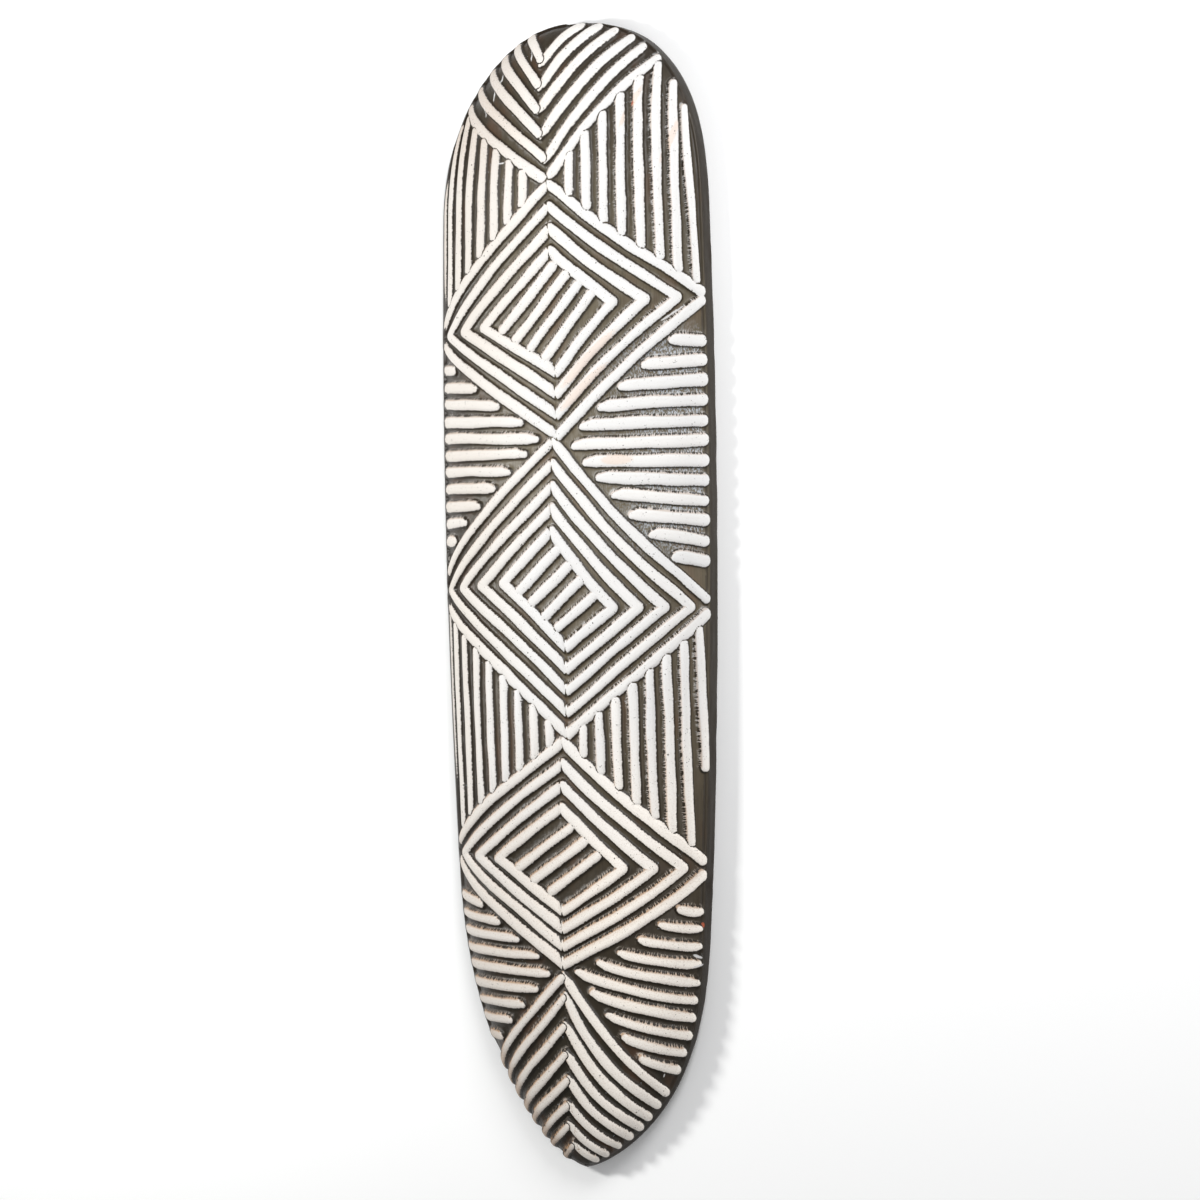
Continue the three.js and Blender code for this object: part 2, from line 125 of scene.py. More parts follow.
@dataclass(frozen=True)
class ShieldForm:
    """The outline, the dome and the hollow of the shield."""

    half_length: float
    half_width: float
    head_taper: float = 0.07
    barrel: float = 0.129
    rim_height: float = 14.0
    crown: float = 39.1
    crown_taper: float = 5.6
    edge_slope: float = math.radians(60.0)
    even_turn: float = 0.27
    left: EndRounding = EndRounding(161.8, 2.0, 256.0, 2.24, 1.58)
    right: EndRounding = EndRounding(161.7, 2.5, 218.0, 3.19, 1.376)
    wall: float = 15.0
    hollow_across: float = 0.85
    hollow_along: float = 0.944
    hollow_power: float = 2.4
    hollow_end_power: float = 5.0

    WIDEST = 1.0079     # the widest place, just above the middle, as a share of half_width

    @classmethod
    def from_box(cls, low: Vector, high: Vector) -> "ShieldForm":
        """The form that fills a box, given by its corners in metres."""
        size = (high - low) / MM
        return cls(half_length=size.y / 2, half_width=size.x / 2 / cls.WIDEST)

    def half_width_of(self, side: EndRounding, along: Array) -> Array:
        """Half width of one side: a tapered barrel times an eased head and an eased foot.

        With u the place along as a share of the half length, the barrel is 1 + taper u - barrel
        u^2, the head is (1 - h^p)^(1/p) and the foot is (1 - f^p)^(1/tip).

        Args:
            side: The rounding of that side's ends.
            along: Places along.

        Returns:
            Distances from the middle line.
        """
        u = along / self.half_length
        body = self.half_width * (1 + self.head_taper * u - self.barrel * u * u)
        head = np.clip((along - self.half_length + side.head) / side.head, 0.0, 1.0)
        foot = np.clip((side.foot - self.half_length - along) / side.foot, 0.0, 1.0)
        head_round = (1 - head ** side.head_power) ** (1 / side.head_power)
        return body * head_round * (1 - foot ** side.foot_power) ** (1 / side.foot_tip)

    def mean_half_width(self, along: Array) -> Array:
        """Half width, averaged over both sides."""
        return (self.half_width_of(self.left, along) + self.half_width_of(self.right, along)) / 2

    def section(self, q: Array) -> tuple[Array, Array]:
        """The dome's section, whose slope grows as edge_slope (even q + (1 - even) q^3).

        Width and drop are running sums of the slope's cosine and sine.

        Args:
            q: Places over the section, 0 in the middle and 1 at the edge.

        Returns:
            Width and drop, both as shares of half the section's length.
        """
        steps = 400
        middles = (np.arange(steps) + 0.5) / steps
        slope = self.edge_slope * (self.even_turn * middles + (1 - self.even_turn) * middles ** 3)
        marks, reach = np.linspace(0.0, 1.0, steps + 1), np.minimum(np.abs(q), 1.0)
        width, drop = (
            np.interp(reach, marks, np.append(0.0, np.cumsum(part(slope)) / steps))
            for part in (np.cos, np.sin)
        )
        return width, drop

    def half_arc(self, along: Array) -> Array:
        """Half the distance over the curve of the face from edge to edge."""
        return self.mean_half_width(along) / self.section(np.ones(1))[0][0]

    def dome_height(self, along: Array) -> Array:
        """Height of the dome above the rim, in proportion to the width."""
        crown = self.crown - self.crown_taper * along / self.half_length
        return crown * self.mean_half_width(along) / self.half_width

    def top(self, q: Array, along: Array) -> Array:
        """Points of the surface that the tops of the strokes lie in.

        Args:
            q: Places over the section, from -1 at the left edge to 1 at the right, shape (1, n).
            along: Places along, shape (m, 1).

        Returns:
            Points, shape (m, n, 3).
        """
        width, drop = self.section(q)
        edge_width, edge_drop = (float(share[0]) for share in self.section(np.ones(1)))
        left, right = (self.half_width_of(side, along) for side in (self.left, self.right))
        x = np.where(q < 0, -left, right) * width / edge_width
        z = self.rim_height + self.dome_height(along) * (1 - drop / edge_drop)
        return np.stack(np.broadcast_arrays(x, along, z), axis=-1)

    def hollow_depth(self, along: Array) -> Array:
        """Height of the hollow's roof, which runs out at its ends as (1 - s^end)^(1/power)."""
        share = np.clip(np.abs(along) / (self.half_length * self.hollow_along), 0.0, 1.0)
        runs_out = (1 - share ** self.hollow_end_power) ** (1 / self.hollow_power)
        return (self.rim_height + self.dome_height(along) - self.wall) * runs_out

    def hollow(self, u: Array, along: Array) -> Array:
        """Points of the hollow: an arch of height (1 - |u|^p)^(1/p) over a smaller outline.

        Args:
            u: Places across the hollow, from 1 at its right to -1 at its left, shape (1, n).
            along: Places along, shape (m, 1).

        Returns:
            Points, shape (m, n, 3).
        """
        twin = np.clip(along / self.hollow_along, -self.half_length, self.half_length)
        left, right = (
            self.half_width_of(side, twin) * self.hollow_across for side in (self.left, self.right)
        )
        x = np.where(u < 0, left, right) * u
        z = self.hollow_depth(along) * (1 - np.abs(u) ** self.hollow_power) ** (1 / self.hollow_power)
        return np.stack(np.broadcast_arrays(x, along, z), axis=-1)


# ---- strokes ----


class Tip(Enum):
    """How an end of a stroke is cut."""

    ROUND = "round"
    BLUNT = "blunt"        # short of the corner, with a full round end
    POINTED = "pointed"    # past the corner, narrowing over its last stretch
    LOAF = "loaf"          # narrowing mostly from one side, as on a lying bar
    SLIM = "slim"          # narrowing a little from both sides


@dataclass(frozen=True)
class Stroke:
    """One raised stroke: a quadratic curve on the unrolled face from start to end.

    The curve's middle stands bow to the left of the straight line, seen from the start. half is
    half the painted width, and lean is how far a loaf tip keeps to one side: 1 for left and -1
    for right.
    """

    start: Point
    end: Point
    bow: float = 0.0
    half: float = 4.7
    start_tip: Tip = Tip.ROUND
    end_tip: Tip = Tip.ROUND
    lean: float = 0.0

    def at(self, t: Array) -> Array:
        """Points of the curve at shares t of the way: the line plus 4 bow t (1 - t) aside."""
        a, b = np.array(self.start), np.array(self.end)
        left = np.array([a[1] - b[1], b[0] - a[0]]) / math.dist(self.start, self.end)
        return a + np.outer(t, b - a) + np.outer(4 * self.bow * t * (1 - t), left)

    def crossing(self, axis: int, value: float) -> float:
        """The other coordinate of the place where the curve's coordinate on axis has a value."""
        points = self.at(np.linspace(0.0, 1.0, 49))
        order = np.argsort(points[:, axis])
        return float(np.interp(value, points[order, axis], points[order, 1 - axis]))


@dataclass(frozen=True)
class Spine:
    """A line of strokes as the carver cut it: short straight runs with a half width at each joint.

    seams are its corners that show a seam, which runs along the shield. A stroke that lies over
    this one cuts it off. firm tells how plainly this one's joints with others show.
    """

    points: Array
    halves: Array
    tone: float
    seams: tuple[Point, ...] = ()
    over: "Spine | None" = None
    firm: float = 1.0

    STEPS = 12
    STEADY = 14.0           # the hand is steady within this of a corner
    TAPERS = {Tip.POINTED: (12.0, 0.42), Tip.LOAF: (10.0, 0.66), Tip.SLIM: (11.0, 0.70)}
    SHIFTS = {Tip.POINTED: -1.6, Tip.BLUNT: 3.6}    # how far a tip stops short of the corner
    SWAYS = ((0.45, 26.0), (0.22, 9.0))             # size and length of each slow wave
    SWELLS = ((0.26, 20.0), (0.16, 7.0))

    @classmethod
    def cut(cls, line: list[Stroke], rng: np.random.Generator, over: "Spine | None" = None,
            firm: float = 1.0) -> "Spine":
        """Cuts a line of strokes, each of which starts where the last one ends.

        Args:
            line: The drawn strokes.
            rng: Source of the sway, drawn from in a fixed order.
            over: A spine that lies over this one.
            firm: How plainly joints show, from 0 to 1.

        Returns:
            The spine.
        """
        closed = len(line) > 1 and math.dist(line[0].start, line[-1].end) < 0.5
        tone, fatness = rng.uniform(0, 1), rng.normal(0, 0.16)
        points, halves, seams = np.zeros((0, 2)), np.zeros(0), []
        for i, stroke in enumerate(line):
            leg, widths = cls._leg(stroke, (i > 0 or closed, i < len(line) - 1 or closed), rng)
            skip = 1 if i else 0
            if i and abs(stroke.start[0]) < 40:
                seams.append(stroke.start)
            points = np.concatenate([points, leg[skip:]])
            halves = np.concatenate([halves, widths[skip:] + fatness])
        return cls(points, halves, tone, tuple(seams), over, firm)

    @classmethod
    def _leg(cls, stroke: Stroke, joined: tuple[bool, bool],
             rng: np.random.Generator) -> tuple[Array, Array]:
        """One stroke's joints and half widths.

        Its line sways and its width swells by slow sine waves, which die away at a corner that
        it shares. A tip narrows to a share of the width as the square root of r (2 - r).

        Args:
            stroke: The drawn stroke.
            joined: Whether its start and its end are corners it shares.
            rng: Source of the waves.

        Returns:
            Points, shape (n, 2), and half widths, shape (n,).
        """
        length = math.dist(stroke.start, stroke.end)
        first = cls.SHIFTS.get(stroke.start_tip, 0.0) / length
        last = 1.0 - cls.SHIFTS.get(stroke.end_tip, 0.0) / length
        t = np.linspace(first, last, cls.STEPS + 1)
        points, run = stroke.at(t), (t - first) * length
        total, step = run[-1], points[-1] - points[0]
        left = np.array([-step[1], step[0]]) / np.linalg.norm(step)
        phase, tempo = rng.uniform(0, 2 * math.pi, 4), rng.uniform(0.7, 1.3, 4)
        waves = [size * np.sin(run / reach * tempo[k] + phase[k])
                 for k, (size, reach) in enumerate(cls.SWAYS + cls.SWELLS)]
        steady = np.ones(len(t))
        for shared, reach in zip(joined, (run, total - run)):
            if shared:
                steady *= ease(reach, 0.0, cls.STEADY)
        halves = np.full(len(t), stroke.half) + (waves[2] + waves[3]) * steady
        lean = np.zeros(len(t))
        for tip, reach in ((stroke.start_tip, run), (stroke.end_tip, total - run)):
            taper, least = cls.TAPERS.get(tip, (1.0, 1.0))
            kept = np.clip(reach / min(taper, total / 2), 0, 1)
            share = least + (1 - least) * np.sqrt(kept * (2 - kept))
            halves *= share
            if tip is Tip.LOAF:
                lean += stroke.half * (1 - share) * stroke.lean
        return points + np.outer((waves[0] + waves[1]) * steady + lean, left), halves


@dataclass
class StrokeField:
    """Every stroke of the face, ready to be measured from any place."""

    spines: list[Spine]

    REACH = 9.0             # strokes are measured this far beyond their edges
    OVERLAP = 0.2           # a covered stroke reaches this far under the one over it
    FAR = 99.0
    SEAM = 9.0              # a seam reaches this far up and down from its corner
    UPPER_LEFT = np.array([-0.7, 0.714])
    STARTS = {"cover": -REACH, "rival": -REACH, "run": 0.0, "aside": 0.0, "half": 4.7, "tone": 0.0,
              "lit": 0.0, "join": FAR, "firm": 1.0}

    def read(self, across: Array, along: Array) -> dict[str, Array]:
        """Measures the nearest strokes: cover is half width less distance, over all the runs.

        Args:
            across: Places across, flat.
            along: Places along, flat.

        Returns:
            By name: cover is how far inside the painted edge a place is, rival the same for the
            second nearest stroke, run and aside the place along and beside the nearest stroke,
            half its half width, tone its random number, lit how far the place lies on its upper
            left side, join the distance to a seam, and firm how plainly joints show.
        """
        found = {name: np.full(len(across), value) for name, value in self.STARTS.items()}
        cover, rival, firm = found["cover"], found["rival"], found["firm"]
        order = np.argsort(along, kind="stable")
        for spine in self.spines:
            low = spine.points.min(axis=0) - self.REACH - 5
            high = spine.points.max(axis=0) + self.REACH + 5
            first, last = np.searchsorted(along[order], [low[1], high[1]])
            near = order[first:last]
            near = near[(across[near] > low[0]) & (across[near] < high[0])]
            if not len(near):
                continue
            own = self._measure(spine, across[near], along[near])
            if spine.over:
                over = self._measure(spine.over, across[near], along[near])["cover"]
                own["cover"] = np.minimum(own["cover"], self.OVERLAP - over)
            own["tone"] = np.full(len(near), spine.tone)
            better = own["cover"] > cover[near]
            rival[near] = np.where(better, cover[near], np.maximum(rival[near], own["cover"]))
            touched = own["cover"] > -2.0
            firm[near] = np.where(touched, np.minimum(firm[near], spine.firm), firm[near])
            for name, values in own.items():
                found[name][near[better]] = values[better]
        return found

    def _measure(self, spine: Spine, across: Array, along: Array) -> dict[str, Array]:
        """Measures one spine: each straight run widens evenly from joint to joint.

        Args:
            spine: The spine.
            across: Places across, flat.
            along: Places along, flat.

        Returns:
            Arrays named cover, run, aside, half, lit and join.
        """
        best = {name: np.full(len(across), -self.FAR)
                for name in ("cover", "run", "aside", "half", "lit")}
        walked = 0.0
        for a, b, w0, w1 in zip(spine.points, spine.points[1:], spine.halves, spine.halves[1:]):
            step = b - a
            length = float(np.hypot(*step))
            dx, dy = across - a[0], along - a[1]
            t = np.clip((dx * step[0] + dy * step[1]) / length ** 2, 0.0, 1.0)
            off_x, off_y = dx - t * step[0], dy - t * step[1]
            distance, width = np.hypot(off_x, off_y), w0 + (w1 - w0) * t
            better = width - distance > best["cover"]
            values = {
                "cover": width - distance, "run": walked + t * length, "half": width,
                "aside": np.sign(step[0] * dy - step[1] * dx) * distance,
                "lit": (off_x * self.UPPER_LEFT[0] + off_y * self.UPPER_LEFT[1]) / width,
            }
            for name, value in values.items():
                best[name] = np.where(better, value, best[name])
            walked += length
        best["join"] = np.full(len(across), self.FAR)
        for x, y in spine.seams:
            off = np.abs(across - x + 0.15 * (along - y) + 1.2)
            off = np.where(np.abs(along - y) < self.SEAM, off, self.FAR)
            best["join"] = np.minimum(best["join"], off)
        return best


# ---- the carved pattern ----


@dataclass(frozen=True)
class Chevron:
    """Two arms that meet at an apex."""

    apex: Point
    left: Point
    right: Point
    bow_left: float
    bow_right: float
    half: float = 4.7

    def arms(self) -> tuple[Stroke, Stroke]:
        """The left arm, which stops short of the apex, and the right one, which runs past it."""
        return (Stroke(self.apex, self.left, self.bow_left, self.half - 0.3, start_tip=Tip.BLUNT),
                Stroke(self.apex, self.right, self.bow_right, self.half, start_tip=Tip.POINTED))


@dataclass(frozen=True)
class Diamonds:
    """A nest of diamonds round a few bars.

    Each corner is given for the outermost ring and the innermost. The bows belong to the four
    sides of the outermost ring, from the right corner clockwise, and die away inwards. The bars
    start along one line and end along another.
    """

    rings: int
    top: tuple[Point, Point]
    right: tuple[Point, Point]
    bottom: tuple[Point, Point]
    left: tuple[Point, Point]
    bows: tuple[float, float, float, float]
    bars: int
    bar_starts: tuple[Point, Point]
    bar_ends: tuple[Point, Point]
    bar_gap: float = 6.0

    def ring(self, k: int) -> list[Stroke]:
        """The four sides of ring k, from the right corner clockwise."""
        t, fade = k / (self.rings - 1), 1 - k / self.rings
        corners = [mix(*pair, t) for pair in (self.right, self.bottom, self.left, self.top)]
        return [Stroke(corners[i], corners[(i + 1) % 4], self.bows[i] * fade) for i in range(4)]

    def filling(self) -> list[Stroke]:
        """The bars, cut off where they come to the innermost ring's middle line.

        Returns:
            The bars, in order.
        """
        t = np.linspace(0.0, 1.0, 49)
        ring = np.concatenate([side.at(t) for side in self.ring(self.rings - 1)])
        bars = []
        for k in range(self.bars):
            share = k / (self.bars - 1)
            points = Stroke(mix(*self.bar_starts, share), mix(*self.bar_ends, share)).at(t)
            gaps = np.linalg.norm(points[:, None] - ring[None], axis=-1).min(axis=1)
            blocked = np.flatnonzero(gaps < self.bar_gap)
            first = max(blocked[blocked < len(t) // 2], default=-1) + 1
            last = min(blocked[blocked > len(t) // 2], default=len(t)) - 1
            bars.append(Stroke(tuple(points[first]), tuple(points[last])))
        return bars


@dataclass
class Pattern:
    """The whole carved pattern of the face."""

    form: ShieldForm
    upright_gap: float = 6.6       # from the middle of an arm to the end of an upright bar
    lying_gap: float = 16.5        # from the middle of an arm to the end of a lying bar
    edge_gap: float = 5.0          # from the edge of the face to the end of a lying bar
    head: list[Chevron] = field(default_factory=lambda: [
        Chevron((-5, 358.5), (-117, 441), (98, 466), 2.5, 4),
        Chevron((-5, 376.5), (-113, 461), (83, 478), 0, 4),
        Chevron((-10, 398.5), (-98, 474), (71, 488), -1, 3),
        Chevron((-14, 420.5), (-82, 484), (54, 496), -1, 2),
        Chevron((-15, 442.5), (-62, 490), (35, 497), -1, 2.5),
        Chevron((-16, 464), (-42, 493), (17, 498), -2, 1),
    ])
    foot: list[Chevron] = field(default_factory=lambda: [
        Chevron((2, -329.5), (-98, -413), (88, -436), 2, -5, 4.4),
        Chevron((3, -346.5), (-90, -428), (82, -448), 2, -10, 4.4),
        Chevron((1, -372), (-81, -440), (73, -458), 2, -8, 4.4),
        Chevron((1, -397), (-74, -454), (65, -467), 1, -8, 4.4),
        Chevron((0, -419.5), (-65, -465), (53, -474), 1, -7, 4.2),
        Chevron((-3, -442.5), (-54, -477), (42, -482), 0, -5, 4.1),
        Chevron((-6, -460), (-44, -484), (27, -488), 1, -3, 3.8),
        Chevron((-4, -478), (-24, -492), (16, -492), 0, -2, 3.4),
    ])
    upper: Diamonds = Diamonds(
        4, ((-3, 356), (-1.5, 297.5)), ((148, 252), (59, 249)), ((5, 136), (4, 191)),
        ((-151, 230.5), (-73, 235)), (-4, -2, 0, -4),
        4, ((-51.5, 231.5), (-7.6, 204)), ((1, 283), (40.5, 260.5)),
    )
    middle: Diamonds = Diamonds(
        5, ((0, 132), (-3, 54)), ((150, -14.5), (56, -14)), ((11, -122), (11, -47)),
        ((-158, 5), (-54, 10)), (0, -5, 0, -6),
        4, ((-38, 2), (3.5, -29.5)), ((2, 37.5), (40, -1)),
    )
    lower: Diamonds = Diamonds(
        4, ((6, -128), (3, -185)), ((142, -237), (61, -237)), ((2, -320), (3, -274)),
        ((-143, -224.5), (-65, -229.5)), (4.5, -1, 0, -3),
        3, ((-43, -237), (-8, -256.5)), ((16, -199), (43.5, -221.5)),
    )

    def upright_fan(self, count: int, tops: Point, feet: Point, over: Stroke, under: Stroke,
                    bow: float = 0.0, last_top: float | None = None,
                    last_foot: float | None = None) -> list[Stroke]:
        """Upright bars between an arm above and an arm below.

        Args:
            count: Number of bars.
            tops: Places across of the first and the last bar's top.
            feet: Places across of their feet.
            over: The arm above.
            under: The arm below.
            bow: How far the last bar bows.
            last_top: Place along where the last bar starts, if it has one of its own.
            last_foot: Place along where the last bar ends, if it has one of its own.

        Returns:
            The bars, from the middle outwards.
        """
        bars = []
        for i in range(count):
            t = i / (count - 1)
            top, foot = tops[0] + (tops[1] - tops[0]) * t, feet[0] + (feet[1] - feet[0]) * t
            high = over.crossing(0, top) - self.upright_gap
            low = under.crossing(0, foot) + self.upright_gap
            if i == count - 1:
                high = high if last_top is None else last_top
                low = low if last_foot is None else last_foot
            bars.append(Stroke((top, high), (foot, low), bow * t, 4.5))
        return bars

    def lying_fan(self, side: int, inner: list[float], outer: Point, arms: list[Stroke],
                  half: float = 4.9) -> list[Stroke]:
        """Lying bars from beside the arms out to the edge.

        Args:
            side: -1 on the left and 1 on the right.
            inner: Place along of every bar's inner end.
            outer: Places along of the first and the last bar's outer end.
            arms: The arms that the bars start beside.
            half: Half the painted width.

        Returns:
            The bars, from the head down.
        """
        bars = []
        for i, start in enumerate(inner):
            end = outer[0] + (outer[1] - outer[0]) * i / (len(inner) - 1)
            beside = max(side * arm.crossing(1, start) for arm in arms)
            edge = float(self.form.half_arc(np.array(end))) - self.edge_gap - (side > 0)
            bars.append(Stroke((side * (beside + self.lying_gap), start), (side * edge, end), 0.0,
                               half, Tip.LOAF, Tip.ROUND, -0.55 * side))
        return bars

    def sagging_fan(self) -> list[Stroke]:
        """The lower right bars, which sag, and start beside the diamond and then the chevron.

        Returns:
            The bars, from the head down.
        """
        beside_diamond = Stroke((110, -272), (15, -327), 5).at(np.linspace(0, 1, 6))
        beside_chevron = Stroke((28.5, -344), (65.5, -401)).at(np.linspace(0, 1, 4))
        bars = []
        for i, (across, along) in enumerate(np.concatenate([beside_diamond, beside_chevron])):
            end = -274 - 15.2 * i
            edge = float(self.form.half_arc(np.array(end))) - self.edge_gap
            bars.append(Stroke((across, along), (edge, end), 0.03 * (across - edge), 4.4,
                               Tip.LOAF, Tip.SLIM, 0.55))
        return bars

    def fans(self) -> list[Stroke]:
        """Every bar of the fans beside the diamonds.

        Returns:
            The bars, fan by fan.
        """
        upper, middle, lower = (nest.ring(0) for nest in (self.upper, self.middle, self.lower))
        (head_left, head_right), (foot_left, _) = self.head[0].arms(), self.foot[0].arms()
        left_upper = [200.5, 182.3, 166.4, 150.3, 135, 122, 108, 94, 79.5, 65, 50, 34.5]
        right_upper = [215, 195, 177, 160, 143.5, 127.5, 113, 99, 83.5, 66.5, 49, 30]
        left_lower = list(np.linspace(-270, -385.5, 9))
        return [
            *self.upright_fan(8, (-29, -134.7), (-29, -139), head_left, upper[2], last_top=400),
            *self.upright_fan(8, (17.5, 123), (17.5, 136.5), head_right, upper[3], 2, last_top=415),
            *self.upright_fan(9, (-7.5, -137), (-7, -131.8), middle[1], lower[2]),
            *self.upright_fan(8, (26.3, 134.1), (26, 138), middle[0], lower[3], last_foot=-171),
            *self.lying_fan(-1, left_upper, (202, 35), [upper[1], middle[2]]),
            *self.lying_fan(1, right_upper, (214, 25), [upper[0], middle[3]], half=5.5),
            *self.lying_fan(-1, left_lower, (-262.5, -384.5), [lower[1], foot_left], half=4.3),
            *self.sagging_fan(),
        ]

    def on_face(self, stroke: Stroke, past_edge: float = 7.0) -> Stroke | None:
        """The stretch of a stroke that lies on the face, or runs past its edge by a little.

        Args:
            stroke: The drawn stroke.
            past_edge: How far beyond the left edge it may run; on the right it stops before it.

        Returns:
            The trimmed stroke, or None where nothing is left of it.
        """
        t = np.linspace(0.0, 1.0, 97)
        points = stroke.at(t)
        nearer_end = points[:, 1] + np.sign(points[:, 1]) * 4.0
        arc = self.form.half_arc(np.clip(nearer_end, -self.form.half_length, self.form.half_length))
        limit = np.where(points[:, 0] < 0, arc + past_edge, arc - self.edge_gap + 1)
        inside = t[np.abs(points[:, 0]) <= limit]
        if len(inside) < 4:
            return None
        if inside[0] == 0.0 and inside[-1] == 1.0:
            return stroke
        a, b = stroke.at(inside[[0, -1]])
        return Stroke(tuple(a), tuple(b), stroke.bow * (inside[-1] - inside[0]) ** 2, stroke.half,
                      stroke.start_tip if inside[0] == 0.0 else Tip.ROUND,
                      stroke.end_tip if inside[-1] == 1.0 else Tip.ROUND, stroke.lean)

    def stretches(self, line: list[Stroke]) -> list[list[Stroke]]:
        """The stretches of a line of strokes that lie on the face, each still joined up.

        Args:
            line: Strokes, each of which starts where the last one ends.

        Returns:
            The stretches, in order.
        """
        found: list[list[Stroke]] = []
        for stroke in line:
            kept = self.on_face(stroke)
            if kept and found and math.dist(found[-1][-1].end, kept.start) < 0.5:
                found[-1].append(kept)
            elif kept:
                found.append([kept])
        if len(found) > 1 and math.dist(found[-1][-1].end, found[0][0].start) < 0.5:
            found[0] = found.pop() + found[0]
        return found

    def carve(self, seed: int = 11) -> StrokeField:
        """Cuts every stroke by hand, in order, from one seeded source.

        Args:
            seed: The source's seed.

        Returns:
            The cut strokes.
        """
        rng = np.random.default_rng(seed)
        spines = []
        for row in self.head + self.foot:
            left, right = (self.stretches([arm])[0] for arm in row.arms())
            spines.append(Spine.cut(left, rng))
            spines.append(Spine.cut(right, rng, over=spines[-1]))
        for nest in (self.upper, self.middle, self.lower):
            rings = [nest.ring(k) for k in range(nest.rings)]
            spines += [Spine.cut(part, rng) for ring in rings for part in self.stretches(ring)]
            spines += [Spine.cut([bar], rng, firm=0.3) for bar in nest.filling()]
        bars = [part for bar in self.fans() for part in self.stretches([bar])]
        return StrokeField(spines + [Spine.cut(bar, rng, firm=0.6) for bar in bars])


# ---- the carved mesh ----


def put(name: str, data: bpy.types.ID) -> Object:
    """A new object in the scene that shows some data."""
    placed = bpy.data.objects.new(name, data)
    bpy.context.scene.collection.objects.link(placed)
    return placed


def tube(name: str, points: Array, flipped: bool = False) -> Object:
    """A closed tube through a grid of points, whose columns run round it, capped at both ends.

    Args:
        name: The object's name.
        points: Points in millimetres, shape (m, n, 3).
        flipped: Whether the columns run the other way round, so that faces still look out.

    Returns:
        The tube as an object.
    """
    count, around = points.shape[:2]
    first, here = np.arange(count - 1)[:, None] * around, np.arange(around)[None, :]
    corner, ahead = first + here, first + (here + 1) % around
    quads = np.stack([corner, ahead, ahead + around, corner + around], axis=-1).reshape(-1, 4)
    caps = [np.arange(around)[::-1], (count - 1) * around + np.arange(around)]
    if flipped:
        quads, caps = quads[:, [0, 3, 2, 1]], [cap[::-1] for cap in caps]
    loops = np.concatenate([quads.ravel(), *caps])
    sizes = np.concatenate([np.full(len(quads), 4), np.full(2, around)])
    starts = np.concatenate([[0], np.cumsum(sizes)[:-1]])
    mesh = bpy.data.meshes.new(name)
    mesh.vertices.add(count * around)
    mesh.vertices.foreach_set("co", (points * MM).astype(np.float32).ravel())
    mesh.loops.add(len(loops))
    mesh.loops.foreach_set("vertex_index", loops.astype(np.int32))
    mesh.polygons.add(len(sizes))
    mesh.polygons.foreach_set("loop_start", starts.astype(np.int32))
    mesh.polygons.foreach_set("loop_total", sizes.astype(np.int32))
    mesh.update(calc_edges=True)
    mesh.validate()
    return put(name, mesh)


def set_attribute(mesh: bpy.types.Mesh, name: str, values: Array) -> None:
    """Writes one number for every point of a mesh, under a name."""
    attribute = mesh.attributes.get(name) or mesh.attributes.new(name, "FLOAT", "POINT")
    attribute.data.foreach_set("value", values.astype(np.float32).ravel())


def get_attribute(mesh: bpy.types.Mesh, name: str) -> Array:
    """The number that every point of a mesh has under a name."""
    values = np.zeros(len(mesh.vertices), np.float32)
    mesh.attributes[name].data.foreach_get("value", values)
    return values.astype(float)


def apply_modifiers(piece: Object) -> None:
    """Makes a piece's modifiers part of its mesh."""
    evaluated = piece.evaluated_get(bpy.context.evaluated_depsgraph_get())
    finished = bpy.data.meshes.new_from_object(evaluated)
    piece.modifiers.clear()
    piece.data = finished


